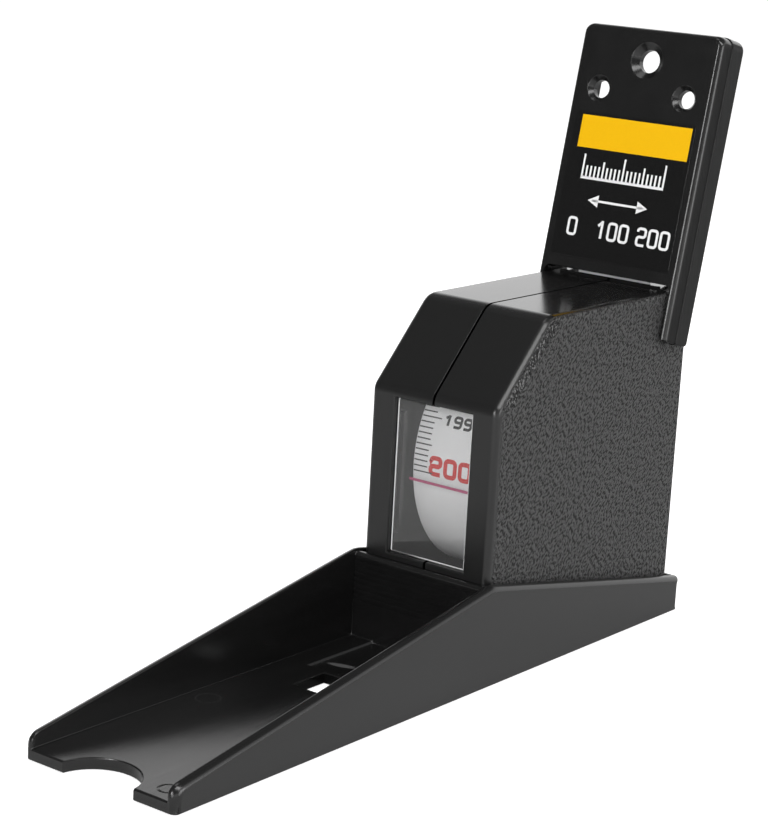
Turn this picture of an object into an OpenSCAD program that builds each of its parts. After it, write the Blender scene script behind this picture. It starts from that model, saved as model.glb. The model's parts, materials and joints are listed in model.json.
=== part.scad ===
// Wall-mounted stadiometer: a sprung steel tape hangs from a wall plate and
// carries a reading housing that stands on a wedge-shaped head tray.
// The middle plane is x = 0, the wall side of the tray is y = 0 and the
// measuring face under the tray is z = 0. The tray points along -Y.

/* [Head tray] */
// Length of the tray from its wall side to its tip
tray_l = 140.9; // [120:0.1:160]
// Thickness of the tray floor
tray_floor = 2.0; // [1.8:0.1:3]
// Thickness of the tray side walls
tray_wall = 1.6; // [1.2:0.1:2]
// Height of the side walls at the wall side of the tray
tray_rear_h = 6.1; // [4:0.1:8]
// Height of the side walls at their peak, in front of the housing
tray_peak_h = 17.8; // [15:0.1:20]
// Height of the side walls at the tip of the tray
tray_tip_h = 4.0; // [3:0.1:6]
// Radius of the upright corners of the tray
tray_corner = 2.0; // [0.5:0.1:2.5]
// Thickness of the cross wall in front of the housing
cross_wall = 1.3; // [1:0.1:2]
// Radius of the thumb notch in the tip
notch_r = 7.6; // [5:0.1:9]
// How far the thumb notch cuts in from the tip
notch_in = 6.5; // [3:0.1:7]
// Width of the square opening in the tray floor
hatch_w = 10; // [6:0.5:14]
// Length of the square opening in the tray floor
hatch_l = 8.3; // [5:0.1:12]
// Half the width of the sunk panel in the tray floor
sink_half = 9.5; // [6:0.5:12]
// Length of the sunk panel, from the cross wall forwards
sink_l = 17.7; // [10:0.1:22]
// Depth of the sunk panel
sink_t = 0.4; // [0.2:0.1:0.8]

/* [Housing] */
// Width of the housing across its grained sides
case_w = 26.6; // [25:0.1:32]
// Distance of the housing's front face from the wall side of the tray
case_front = 61.7; // [60:0.1:66]
// Height of the housing's top above the measuring face
case_top = 63.1; // [61:0.1:68]
// Run of the sloping front edge along the top
bevel_y = 14.1; // [10:0.1:16]
// Fall of the sloping front edge down the front face
bevel_z = 14.7; // [12:0.1:15]
// Thickness of the housing walls
case_wall = 1.8; // [1.4:0.1:2.2]
// Rounding of the long edges between the sides and the rim of the housing
case_edge = 1.2; // [0.6:0.1:1.6]

/* [Window] */
// Width of the window
win_w = 16.8; // [12:0.1:17]
// Height of the window
win_h = 28.2; // [20:0.1:28.3]
// Depth of the lens behind the front face
lens_in = 0.8; // [0.4:0.1:1]
// Thickness of the lens flange behind the front wall
lens_flange = 1.0; // [0.6:0.1:1.4]
// Width of the lens flange outside the window
lens_lip = 0.5; // [0.3:0.1:0.6]

/* [Tape and reel] */
// Width of the steel tape
tape_w = 16; // [12:0.1:16.4]
// Thickness of the steel tape with its paint
tape_t = 0.14; // [0.1:0.01:0.2]
// Length of tape that pulls out of the housing
tape_reach = 2000; // [1500:50:2200]
// Outer radius of the wound tape when it is all in
coil_r = 21.7; // [21:0.1:22.5]
// Radius of the post that the reel turns on
post_r = 3.0; // [2.5:0.1:3.5]
// Number of turns of the mainspring
spring_turns = 12; // [6:1:16]
// Thickness of the mainspring band
spring_t = 0.25; // [0.15:0.05:0.35]

/* [Wall plate] */
// Height of the wall plate above its lower edge
plate_h = 47.2; // [44:0.1:60]
// Depth of the wall plate from its front to the wall
plate_d = 7.7; // [6.5:0.1:10]
// Thickness of the front panel of the wall plate
panel_t = 2.2; // [1.8:0.1:2.6]
// Thickness of the side walls of the wall plate
plate_wall = 1.2; // [1:0.1:1.6]
// How far the ears hang down beside the housing
ear_drop = 9.7; // [6:0.1:14]
// Angle at which the wall plate leans back while the head is parked
plate_lean = 12.2; // [8:0.1:14]
// Rounding of the front edges of the wall plate
plate_edge = 1.0; // [0.5:0.1:1.4]
// Diameter of the upper screw hole
top_hole_d = 4.3; // [3.5:0.1:5]
// Diameter of the two lower screw holes
side_hole_d = 3.4; // [3:0.1:4.2]
// Height of the upper screw hole above the plate's lower edge
top_hole_z = 41.1; // [38:0.1:42]
// Height of the two lower screw holes above the plate's lower edge
side_hole_z = 34.95; // [33.5:0.05:36]
// Distance from one lower screw hole to the other
side_hole_gap = 18.75; // [16:0.05:20]

/* [Label] */
// Width of the glossy label on the wall plate
label_w = 26.4; // [22:0.1:27]
// Height of the glossy label
label_h = 27.3; // [26:0.1:28]
// Height of the label's lower edge above the plate's lower edge
label_z = 3.0; // [2:0.1:3.5]
// Width of the yellow stripe
stripe_w = 24.2; // [18:0.1:25]
// Height of the yellow stripe
stripe_h = 6.15; // [4:0.05:7]

/* [Clearances] */
// Gap between the housing and the tray's side walls
tray_gap = 0.75; // [0.4:0.05:1]
// Gap between the housing and the tray's rear wall
rear_gap = 0.4; // [0.3:0.05:0.8]
// Gap between the housing and the cross wall
cross_gap = 0.1; // [0.05:0.05:0.3]
// Gap between the housing and the ears of the wall plate
ear_gap = 0.7; // [0.5:0.05:1]
// Gap between the two half shells along their seam
seam = 0.2; // [0.1:0.05:0.3]
// Radial clearance of a turning or seated pin
fit = 0.05; // [0.03:0.01:0.09]
// Play of the reel along its post, on each side
end_play = 0.15; // [0.1:0.05:0.3]

/* [Hidden] */
$fn = 64;
corner_steps = 4;      // straight steps in a rounded corner
turn_steps = 24;       // straight steps in a turn of the spring
coil_steps = 72;       // straight steps in the outer layer of tape
skin = 0.15;           // thickness of the label film
ink = 0.05;            // thickness of paint on the label, lens and tape
over = 1;              // how far a cut runs past the face it opens
sunk = 0.1;            // how far a rib, pad or shank runs into what carries it

// Housing and tray, worked out from the sizes above
case_back = tray_wall + rear_gap;
tray_w = case_w + 2 * (tray_gap + tray_wall);
peak_y = case_front + cross_gap + cross_wall;
case_floor = tray_floor;
case_half = case_w / 2;
inner_half = case_half - case_wall;
least_r = 0.2;         // corners inside the housing are at least this round
bevel_angle = atan2(bevel_z, bevel_y);
rib_pitch = 1.05;      // pitch of the fine grooves in the cross wall
rib_depth = 0.2;
rib_top = 0.8;         // smooth band above the grooves
rib_count = 8;
hatch_gap = 0.9;       // floor left between the opening and the sunk panel

// Window and lens
win_sill = 0.9;        // from the peak of the tray walls up to the window
win_z = tray_peak_h + win_sill;
lens_play = 0.08;
lens_back = case_front - case_wall - lens_flange;
keeper_t = 1.0;        // ribs that hold the lens flange against the front wall
keeper_in = 3;         // from the window's ends to the ribs
keeper_side = 0.1;     // how far the ribs reach in past the window's sides
line_z = 32.05;
line_h = 0.35;
line_left = 6.4;       // the printed line starts this far left of the middle

// Reel, placed from the inside of the housing
reel_front_gap = 4.0;
reel_floor_gap = 8.3;
reel_y = -(case_front - case_wall - reel_front_gap - coil_r);
reel_z = case_floor + case_wall + reel_floor_gap + coil_r;
wound_r = sqrt(pow(coil_r, 2) - tape_reach * tape_t / PI);
drum_r = wound_r - fit;
drum_wall = 1.6;
drum_half = tape_w / 2 + 0.2;
web_t = 1.4;
web_hole_r = 2.6;
web_hole_at = 11;
cover_t = 1.2;
hub_r = post_r + 2.2;
washer_t = 0.5;
stack_half = drum_half + washer_t + 2 * end_play;
post_seat = 1.0;
post_screw_in = 1;     // how far the post's screw hole reaches in beside the spring
spring_slot = 0.6;
spring_half = drum_half - web_t - 0.5;
spring_gap = 0.4;      // from the spring to the post and to the drum

// Screws
recess_w = 0.5;
recess_deep = 0.4;
recess_reach = 0.66;   // of the head's radius
screw_r = 1.1;
screw_head_r = 2.4;
screw_head_t = 1.4;
head_gap = 0.2;
boss_r = 2.8;
boss_in = 2.6;         // from the inner walls to the middle of a boss
screw_end = 8.5;
pilot_gap = 0.5;       // depth left in front of a screw's end
foot_screw_r = 0.9;
foot_head_r = 2.2;
foot_head_t = 0.9;
foot_head_in = 0.15;
foot_screw_l = 7.0;
foot_boss_r = 2.4;
foot_x = 7.5;
foot_inset = 14;

// Where the tape leaves the housing
mouth_in = 5.1;        // from the housing's back to the tape
mouth = [-(case_back + mouth_in), case_top];
slot_front = 1.0;
slot_back = 0.7;
slot_side = 0.6;
nip_l = 2.5;
nip_gap = 0.4;
lead_start = 5;        // the lead begins this far past the point of tangency

// Wall plate
plate_half = case_half + ear_gap + plate_wall;
hollow_half = plate_half - plate_wall;
cap_d = 3.6;           // depth of the front part, ahead of the raised rear rim
rim_out = 0.2;         // how far the rear rim stands out
plate_top_r = 1.8;
plate_low_r = 1.0;
panel_low = 0.8;       // lower edge of the front panel
tape_gap = 0.7;        // from the panel to the tape behind it
tape_depth = panel_t + tape_gap + tape_t / 2;
mouth_lift = 0.2;      // height of the tape's mouth above the plate's datum
sink_in = 1.0;         // depth of the countersinks
sink_out = 1.3;        // how far a countersink's rim lies outside its hole
side_sink_out = 0.8;
foot_rib_x = 10.6;     // ribs that stand on the housing's top while the head is parked
foot_rib_t = 1.2;
foot_rib_h = 6;
foot_rib_back = 0.5;   // from the ribs to the wall
foot_rib_gap = 0.1;
pad_side = 1;          // the pad under the clamp is wider and lower than the clamp
pad_low = 0.5;
clamp_z = 8;
clamp_h = 7;
clamp_t = 0.8;
clamp_half = 7;
clamp_screw_x = 4.2;
clamp_screw_r = 0.8;
clamp_head_r = 1.6;
clamp_head_t = 0.9;
clamp_head_taper = 0.3;
clamp_bite = 1.5;
run_top = 0.8;         // tape left above the clamp
clamp_spots = [for (side = [-1, 1]) [side * clamp_screw_x, clamp_z + clamp_h / 2]];

// Label print
stripe_z = label_z + label_h - stripe_h - 0.55;
stripe_shift = 0.5;
rule_z = 18.2;
rule_step = 1.35;
rule_count = 14;
rule_half = rule_step * rule_count / 2;
rule_line = 0.5;
tall_tick = 4.3;
short_tick = 2.6;
arrow_z = 14.0;
arrow_half = 7.5;
digit_z = 6.7;
digit_h = 3.6;
digit_w = 1.7;
digit_gap = 0.6;
stroke = 0.5;

// Plane geometry

function unit(v) = v / norm(v);
function wrap(a) = a - 360 * floor((a + 180) / 360);
function polar(c, r, a) = c + r * [cos(a), sin(a)];

// Corner p between neighbours a and b, rounded to radius r
function corner(a, p, b, r) =
    r <= 0 ? [p] :
    let (
        u = unit(a - p),
        v = unit(b - p),
        half = acos(u * v) / 2,
        mid = p + unit(u + v) * r / sin(half),
        first = p + u * r / tan(half) - mid,
        last = p + v * r / tan(half) - mid,
        start = atan2(first.y, first.x),
        turn = wrap(atan2(last.y, last.x) - start)
    )
    [for (i = [0:corner_steps]) polar(mid, r, start + turn * i / corner_steps)];

// Outline with each corner rounded to its own radius
function rounded(points, radii) =
    let (n = len(points))
    [for (i = [0:n - 1]) each corner(points[(i + n - 1) % n], points[i], points[(i + 1) % n], radii[i])];

// Rectangle from low to high
function frame(low, high) = [low, [high.x, low.y], high, [low.x, high.y]];

// Radii of the housing's corners in its side outline, moved in by d
function case_radii(d) = [for (r = [0.6, 0.6, 1.2, 2.5, 2.5]) max(r - d, least_r)];

// Side outline of the housing in y and z, moved in by d
function case_outline(d) =
    rounded([
        [-case_front + d, case_floor + d],
        [-case_back - d, case_floor + d],
        [-case_back - d, case_top - d],
        [-case_front + bevel_y + d * tan(bevel_angle / 2), case_top - d],
        [-case_front + d, case_top - bevel_z - d * tan(45 - bevel_angle / 2)]
    ], case_radii(d));

// Front outline of the wall plate in x and z, moved in by d
function plate_outline(d) =
    rounded(frame([-plate_half + d, -ear_drop + d], [plate_half - d, plate_h - d]),
        [plate_low_r, plate_low_r, plate_top_r, plate_top_r]);

// Band of thickness t along a row of points
function band(points, t) =
    let (
        n = len(points),
        along = [for (i = [0:n - 1]) unit(points[min(i + 1, n - 1)] - points[max(i - 1, 0)])],
        side = [for (d = along) [-d.y, d.x] * t / 2]
    )
    concat([for (i = [0:n - 1]) points[i] + side[i]], [for (i = [n - 1:-1:0]) points[i] - side[i]]);

// Placing

// Draws a y and z outline and gives it width from x0 to x1
module along_x(x0, x1) {
    translate([x0, 0, 0]) rotate([90, 0, 90]) linear_extrude(x1 - x0) children();
}

// Draws an x and z outline and gives it depth from y0 to y1
module along_y(y0, y1) {
    translate([0, y1, 0]) rotate([90, 0, 0]) linear_extrude(y1 - y0) children();
}

// Round bar along X from x0 to x1 round a point in y and z
module bar_x(x0, x1, r, at) {
    translate([x0, at.x, at.y]) rotate([0, 90, 0]) cylinder(r = r, h = x1 - x0);
}

// Round bar along Y from y0 to y1 round a point in x and z
module bar_y(y0, y1, r, at, r_end = -1) {
    translate([at.x, y0, at.y]) rotate([-90, 0, 0])
        cylinder(r1 = r, r2 = r_end < 0 ? r : r_end, h = y1 - y0);
}

module block(low, high) {
    translate(low) cube(high - low);
}

// Children drawn in the wall plate's own frame: x across, y into the depth
// and z up the front panel, placed so that the tape passes the mouth
module on_plate() {
    translate([0, mouth.x, mouth.y]) rotate([-plate_lean, 0, 0])
        translate([0, -tape_depth, -mouth_lift]) children();
}

// Cross recess for a driver, cut down from z = 0 in a head of radius r
module cross_recess(r) {
    reach = r * recess_reach;
    for (turn = [0, 90])
        rotate([0, 0, turn]) block([-reach, -recess_w / 2, -recess_deep], [reach, recess_w / 2, over]);
}

reel = [reel_y, reel_z];

// Bosses for the three screws that join the shells
shell_bosses = [
    [-case_front + case_wall + boss_in, case_floor + case_wall + boss_in],
    [-case_back - case_wall - boss_in, case_floor + case_wall + boss_in],
    [mouth.x - 13, case_top - case_wall - boss_in]
];

// Places of the four screws that hold the housing on the tray
foot_spots = [
    for (x = [-foot_x, foot_x], y = [-case_back - foot_inset, -case_front + foot_inset]) [x, y]
];

// Wall plate

module wall_plate_body() {
    hull() {
        along_y(plate_edge, cap_d) polygon(plate_outline(0));
        along_y(plate_edge * 0.3, cap_d) polygon(plate_outline(plate_edge * 0.3));
        along_y(0, cap_d) polygon(plate_outline(plate_edge));
    }
    along_y(cap_d, plate_d) polygon(plate_outline(-rim_out));
}

module screw_cut(at, d, out) {
    bar_y(-over, plate_d + over, d / 2, at);
    bar_y(-0.01, sink_in, d / 2 + out, at, d / 2);
}

module foot_rib(x) {
    block([x - foot_rib_t / 2, panel_t - sunk, panel_low],
        [x + foot_rib_t / 2, plate_d - foot_rib_back, foot_rib_h]);
}

module wall_plate() {
    color("#1b1b1d") difference() {
        on_plate() difference() {
            union() {
                difference() {
                    wall_plate_body();
                    block([-hollow_half, panel_t, -ear_drop - over],
                        [hollow_half, plate_d + over, plate_h - plate_wall]);
                    block([-hollow_half, -over, -ear_drop - over], [hollow_half, plate_d + over, panel_low]);
                }
                block([-clamp_half - pad_side, panel_t - sunk, clamp_z - pad_low],
                    [clamp_half + pad_side, panel_t + tape_gap, clamp_z + clamp_h]);
                for (side = [-1, 1]) foot_rib(side * foot_rib_x);
            }
            screw_cut([0, top_hole_z], top_hole_d, sink_out);
            for (side = [-1, 1])
                screw_cut([side * side_hole_gap / 2, side_hole_z], side_hole_d, side_sink_out);
            for (at = clamp_spots)
                bar_y(panel_t + tape_gap - clamp_bite - pilot_gap, plate_d, clamp_screw_r + fit, at);
        }
        block([-hollow_half, -case_front, case_floor], [hollow_half, over, case_top + foot_rib_gap]);
    }
}

module plate_label() {
    color("#0c0c0e") on_plate()
        block([-label_w / 2, -skin, label_z], [label_w / 2, 0, label_z + label_h]);
}

module label_stripe() {
    color("#f2c40f") on_plate()
        block([stripe_shift - stripe_w / 2, -skin - ink, stripe_z],
            [stripe_shift + stripe_w / 2, -skin, stripe_z + stripe_h]);
}

// Bars of a number drawn as seven strokes: top, upper left, upper right,
// middle, lower left, lower right and foot
function bars(digit) =
    digit == 0 ? [1, 1, 1, 0, 1, 1, 1] :
    digit == 1 ? [0, 0, 1, 0, 0, 1, 0] :
    [1, 0, 1, 1, 1, 0, 1];

module digit_bars(x, digit) {
    half = digit_h / 2;
    on = bars(digit);
    rows = [digit_h - stroke, half - stroke / 2, 0];
    for (i = [0:2]) {
        if (on[[0, 3, 6][i]]) translate([x, digit_z + rows[i]]) square([digit_w, stroke]);
    }
    for (i = [0:1]) {
        if (on[1 + i]) translate([x + i * (digit_w - stroke), digit_z + half]) square([stroke, half]);
        if (on[4 + i]) translate([x + i * (digit_w - stroke), digit_z]) square([stroke, half]);
    }
}

module number_bars(middle, digits) {
    pitch = digit_w + digit_gap;
    left = middle - (len(digits) * pitch - digit_gap) / 2;
    for (i = [0:len(digits) - 1]) digit_bars(left + i * pitch, digits[i]);
}

// A short rule, a double arrow and the numbers 0, 100 and 200
module label_scale() {
    color("#f4f4f4") on_plate() along_y(-skin - ink, -skin) {
        for (i = [0:rule_count]) {
            tall = i % (rule_count / 2) == 0 ? tall_tick : short_tick;
            translate([(i - rule_count / 2) * rule_step - rule_line / 2, rule_z]) square([rule_line, tall]);
        }
        translate([-rule_half - rule_line / 2, rule_z - rule_line])
            square([2 * rule_half + rule_line, rule_line]);
        translate([-arrow_half + 1, arrow_z - 0.2]) square([2 * arrow_half - 2, 0.4]);
        for (side = [-1, 1])
            polygon([[side * arrow_half, arrow_z], [side * (arrow_half - 2.4), arrow_z + 1.1],
                [side * (arrow_half - 2.4), arrow_z - 1.1]]);
        number_bars(-rule_half, [0]);
        number_bars(0, [1, 0, 0]);
        number_bars(rule_half, [2, 0, 0]);
    }
}

// The steel strip that holds the tape's end against the pad in the plate
module tape_clamp() {
    low = panel_t + tape_gap + tape_t;
    color("#b9bcc0") on_plate() difference() {
        block([-clamp_half, low, clamp_z], [clamp_half, low + clamp_t, clamp_z + clamp_h - run_top]);
        for (at = clamp_spots) bar_y(low - over, low + clamp_t + over, clamp_screw_r + fit, at);
    }
}

module clamp_screws() {
    seat = panel_t + tape_gap + tape_t + clamp_t;
    color("#9a9da2") on_plate() for (at = clamp_spots) {
        bar_y(panel_t + tape_gap - clamp_bite, seat + sunk, clamp_screw_r, at);
        difference() {
            bar_y(seat, seat + clamp_head_t, clamp_head_r, at, clamp_head_r - clamp_head_taper);
            translate([at.x, seat + clamp_head_t, at.y]) rotate([-90, 0, 0]) cross_recess(clamp_head_r);
        }
    }
}

// Tape

// The free run, from its end under the clamp down to the mouth of the housing
module tape_run() {
    front = panel_t + tape_gap;
    color("#e6e6e4") on_plate() difference() {
        block([-tape_w / 2, front, mouth_lift], [tape_w / 2, front + tape_t, clamp_z + clamp_h]);
        for (at = clamp_spots) bar_y(front - over, front + tape_t + over, clamp_screw_r + fit, at);
    }
}

// The stretch in the housing's mouth, which stays in line with the free run
module tape_nip() {
    front = panel_t + tape_gap;
    color("#e6e6e4") on_plate()
        block([-tape_w / 2, front, mouth_lift - nip_l], [tape_w / 2, front + tape_t, mouth_lift]);
}

// The stretch inside, straight from the mouth to the reel
nip_end = mouth - nip_l * [sin(plate_lean), cos(plate_lean)];
to_mouth = nip_end - reel;
tangent_angle = atan2(to_mouth.y, to_mouth.x) - acos(coil_r / norm(to_mouth));
tangent = polar(reel, coil_r, tangent_angle);
lead_way = unit(nip_end - tangent);

module tape_lead() {
    color("#e6e6e4") along_x(-tape_w / 2, tape_w / 2)
        polygon(band([tangent + lead_start * lead_way, nip_end - nip_gap * lead_way], tape_t));
}

// The wound tape: its outer layer ends where the lead leaves it
module tape_coil() {
    layer = [
        for (i = [0:coil_steps])
            polar(reel, coil_r - tape_t * i / coil_steps, tangent_angle - 360 * i / coil_steps)
    ];
    color("#e6e6e4") difference() {
        along_x(-tape_w / 2, tape_w / 2) polygon(layer);
        bar_x(-tape_w / 2 - over, tape_w / 2 + over, wound_r, reel);
    }
}

// Reel

module tape_drum() {
    color("#2f3236") difference() {
        bar_x(-drum_half, drum_half, drum_r, reel);
        bar_x(-drum_half - over, drum_half - web_t, drum_r - drum_wall, reel);
        bar_x(drum_half - web_t - over, drum_half + over, post_r + fit, reel);
        for (turn = [0:60:300])
            bar_x(drum_half - web_t - over, drum_half + over, web_hole_r, polar(reel, web_hole_at, turn));
    }
}

module drum_cover() {
    color("#3a3d42") difference() {
        bar_x(-drum_half, -drum_half + cover_t, drum_r - drum_wall - fit, reel);
        bar_x(-drum_half - over, -drum_half + cover_t + over, post_r + fit, reel);
    }
}

module mainspring() {
    first = post_r + spring_gap + spring_t / 2;
    last = drum_r - drum_wall - spring_gap - spring_t / 2;
    count = spring_turns * turn_steps;
    turns = [for (i = [0:count]) polar(reel, first + (last - first) * i / count, 360 * i / turn_steps)];
    color("#5d6670") along_x(-spring_half, spring_half) polygon(band(turns, spring_t));
}

module reel_washers() {
    color("#d8d8d4") for (side = [-1, 1]) {
        low = side > 0 ? drum_half + end_play : -drum_half - end_play - washer_t;
        difference() {
            bar_x(low, low + washer_t, hub_r, reel);
            bar_x(low - over, low + washer_t + over, post_r + fit, reel);
        }
    }
}

// The post sits in a socket of the right shell and is drawn up by a screw
// through the left one
module reel_post() {
    color("#4a4d52") difference() {
        bar_x(-stack_half - post_seat, inner_half + post_seat - fit, post_r, reel);
        block([-spring_half, reel_y - spring_slot / 2, reel_z],
            [spring_half, reel_y + spring_slot / 2, reel_z + post_r + over]);
        bar_x(-stack_half - post_seat - over, -spring_half + post_screw_in, screw_r + fit, reel);
    }
}

// Pan-head screw along X with its head towards -X, seated at x = seat
module side_screw(seat, tip, at) {
    difference() {
        union() {
            bar_x(seat - screw_head_t, seat, screw_head_r, at);
            bar_x(seat - sunk, tip, screw_r, at);
        }
        translate([seat - screw_head_t, at.x, at.y]) rotate([0, -90, 0]) cross_recess(screw_head_r);
    }
}

head_seat = -case_half + screw_head_t + head_gap;

module post_screw() {
    color("#8b8e93") side_screw(head_seat, -spring_half + post_screw_in - pilot_gap, reel);
}

module shell_screws() {
    color("#8b8e93") for (at = shell_bosses) side_screw(head_seat, screw_end, at);
}

// Housing

// One half of the housing, drawn on the +X side
module half_shell() {
    difference() {
        union() {
            difference() {
                hull() {
                    along_x(seam / 2, case_half - case_edge) polygon(case_outline(0));
                    along_x(seam / 2, case_half - case_edge * 0.3) polygon(case_outline(case_edge * 0.3));
                    along_x(seam / 2, case_half) polygon(case_outline(case_edge));
                }
                along_x(-over, inner_half) polygon(case_outline(case_wall));
            }
            for (at = shell_bosses) bar_x(seam / 2, inner_half + sunk, boss_r, at);
            bar_x(stack_half, inner_half + sunk, hub_r, reel);
            for (at = foot_spots) {
                if (at.x > 0) translate([at.x, at.y, case_floor + case_wall - sunk])
                    cylinder(r = foot_boss_r, h = foot_screw_l + pilot_gap - case_wall + sunk);
            }
            block([win_w / 2 - keeper_side, -lens_back + fit, win_z + keeper_in],
                [inner_half + sunk, -lens_back + keeper_t, win_z + win_h - keeper_in]);
        }
        block([-over, -case_front - over, win_z],
            [win_w / 2, -case_front + case_wall + sunk, win_z + win_h]);
        block([-over, mouth.x - slot_front, case_top - case_wall - over],
            [tape_w / 2 + slot_side, mouth.x + slot_back, case_top + over]);
        for (at = foot_spots) {
            if (at.x > 0) translate([at.x, at.y, case_floor - over])
                cylinder(r = foot_screw_r + fit, h = foot_screw_l + over);
        }
    }
}

module shell_right() {
    color("#232427") difference() {
        half_shell();
        bar_x(0, inner_half + post_seat, post_r + fit, reel);
        for (at = shell_bosses) bar_x(0, screw_end + pilot_gap, screw_r + fit, at);
    }
}

module shell_left() {
    color("#232427") difference() {
        mirror([1, 0, 0]) half_shell();
        bar_x(-stack_half - post_seat - fit, 0, post_r + fit, reel);
        for (at = concat(shell_bosses, [reel])) {
            bar_x(-case_half - over, 0, screw_r + head_gap, at);
            bar_x(-case_half - over, head_seat, screw_head_r + head_gap, at);
        }
    }
}

module window_lens() {
    half = win_w / 2 - lens_play;
    color([0.85, 0.9, 0.95, 0.35]) union() {
        block([-half, -case_front + lens_in, win_z + lens_play],
            [half, -case_front + case_wall + fit + sunk, win_z + win_h - lens_play]);
        block([-win_w / 2 - lens_lip, -case_front + case_wall + fit, win_z - lens_lip],
            [win_w / 2 + lens_lip, -lens_back, win_z + win_h + lens_lip]);
    }
}

module reading_line() {
    color("#d0305a")
        block([-line_left, -lens_back, line_z - line_h / 2],
            [win_w / 2 - keeper_side - fit, -lens_back + ink, line_z + line_h / 2]);
}

// Head tray

function tray_plan(d) =
    rounded(frame([-tray_w / 2 + d, -tray_l + d], [tray_w / 2 - d, -d]),
        [tray_corner, tray_corner, tray_corner, tray_corner] - (d > 0 ? [d, d, d, d] : [0, 0, 0, 0]));

module tray_walls() {
    inner = tray_w / 2 - tray_wall;
    intersection() {
        difference() {
            linear_extrude(tray_peak_h + over) polygon(tray_plan(0));
            block([-inner, -peak_y + cross_wall, tray_floor - over], [inner, -tray_wall, tray_peak_h + 2]);
            block([-inner, -tray_l - over, tray_floor], [inner, -peak_y, tray_peak_h + 2]);
        }
        along_x(-tray_w, tray_w)
            polygon([
                [over, 0], [over, tray_rear_h], [0, tray_rear_h],
                [-peak_y + cross_wall, tray_peak_h], [-peak_y, tray_peak_h],
                [-tray_l, tray_tip_h], [-tray_l - over, tray_tip_h], [-tray_l - over, 0]
            ]);
    }
}

module head_tray() {
    hatch_y = -peak_y - sink_l - hatch_gap;
    color("#26272a") difference() {
        union() {
            linear_extrude(tray_floor) polygon(tray_plan(0));
            tray_walls();
        }
        translate([0, -tray_l + notch_in - notch_r, -over]) cylinder(r = notch_r, h = tray_peak_h);
        block([-hatch_w / 2, hatch_y - hatch_l, -over], [hatch_w / 2, hatch_y, tray_floor + over]);
        block([-sink_half, -peak_y - sink_l, tray_floor - sink_t], [sink_half, -peak_y, tray_floor + over]);
        for (i = [1:rib_count]) {
            z = tray_peak_h - rib_top - i * rib_pitch;
            block([-tray_w / 2 + tray_wall, -peak_y - over, z],
                [tray_w / 2 - tray_wall, -peak_y + rib_depth, z + rib_pitch / 2]);
        }
        for (at = foot_spots) translate([at.x, at.y, -over]) {
            cylinder(r = foot_screw_r + head_gap, h = tray_floor + 2 * over);
            cylinder(r = foot_head_r + head_gap, h = over + foot_head_in + foot_head_t);
        }
    }
}

module tray_screws() {
    color("#8b8e93") for (at = foot_spots) translate([at.x, at.y, foot_head_in]) difference() {
        union() {
            cylinder(r = foot_head_r, h = foot_head_t);
            cylinder(r = foot_screw_r, h = tray_floor + foot_screw_l - foot_head_in - pilot_gap);
        }
        rotate([180, 0, 0]) cross_recess(foot_head_r);
    }
}

wall_plate();
plate_label();
label_stripe();
label_scale();
tape_clamp();
clamp_screws();
tape_run();
tape_nip();
tape_lead();
shell_right();
shell_left();
window_lens();
reading_line();
head_tray();
shell_screws();
tray_screws();
reel_post();
post_screw();
reel_washers();
tape_drum();
drum_cover();
mainspring();
tape_coil();
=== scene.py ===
# %% [markdown]
# # A wall-mounted stadiometer
# A sprung steel tape hangs from a wall plate. A reading housing and a wedge-shaped tray travel
# down on it until the tray rests on a head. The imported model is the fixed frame, and it gives the
# sizes and places below. The new skins are surfaces worked out with numpy, and each one stands
# for the plain solid under it.

# %% Load the frame
import json
import math

import bmesh
import bpy
import numpy as np
from mathutils import Matrix, Vector, geometry


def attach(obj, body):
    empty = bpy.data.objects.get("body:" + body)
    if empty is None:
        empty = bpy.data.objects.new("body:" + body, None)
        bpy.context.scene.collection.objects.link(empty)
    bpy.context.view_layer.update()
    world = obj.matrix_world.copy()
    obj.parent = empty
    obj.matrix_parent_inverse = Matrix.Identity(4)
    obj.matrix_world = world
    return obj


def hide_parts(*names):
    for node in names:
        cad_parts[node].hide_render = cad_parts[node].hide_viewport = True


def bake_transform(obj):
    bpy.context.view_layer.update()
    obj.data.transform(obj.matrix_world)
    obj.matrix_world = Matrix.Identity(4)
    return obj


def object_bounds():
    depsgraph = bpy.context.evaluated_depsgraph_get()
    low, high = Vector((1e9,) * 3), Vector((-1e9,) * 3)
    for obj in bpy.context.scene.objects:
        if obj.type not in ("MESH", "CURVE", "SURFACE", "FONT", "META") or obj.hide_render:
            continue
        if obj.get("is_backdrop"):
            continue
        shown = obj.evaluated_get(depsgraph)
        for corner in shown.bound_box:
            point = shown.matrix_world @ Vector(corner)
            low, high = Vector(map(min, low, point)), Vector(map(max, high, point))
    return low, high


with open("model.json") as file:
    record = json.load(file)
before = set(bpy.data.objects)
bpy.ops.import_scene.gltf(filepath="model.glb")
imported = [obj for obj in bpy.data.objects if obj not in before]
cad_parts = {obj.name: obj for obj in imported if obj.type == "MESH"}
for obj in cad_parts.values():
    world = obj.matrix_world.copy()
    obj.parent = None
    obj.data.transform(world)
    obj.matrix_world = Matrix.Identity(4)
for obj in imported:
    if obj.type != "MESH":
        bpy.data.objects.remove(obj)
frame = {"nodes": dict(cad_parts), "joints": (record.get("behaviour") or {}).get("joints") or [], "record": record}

cad_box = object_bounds()
nodes = frame["nodes"]
joints = {joint["name"]: joint for joint in frame["joints"]}
mounts = {mount["name"]: mount for mount in frame["record"]["mounts"]}
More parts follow.
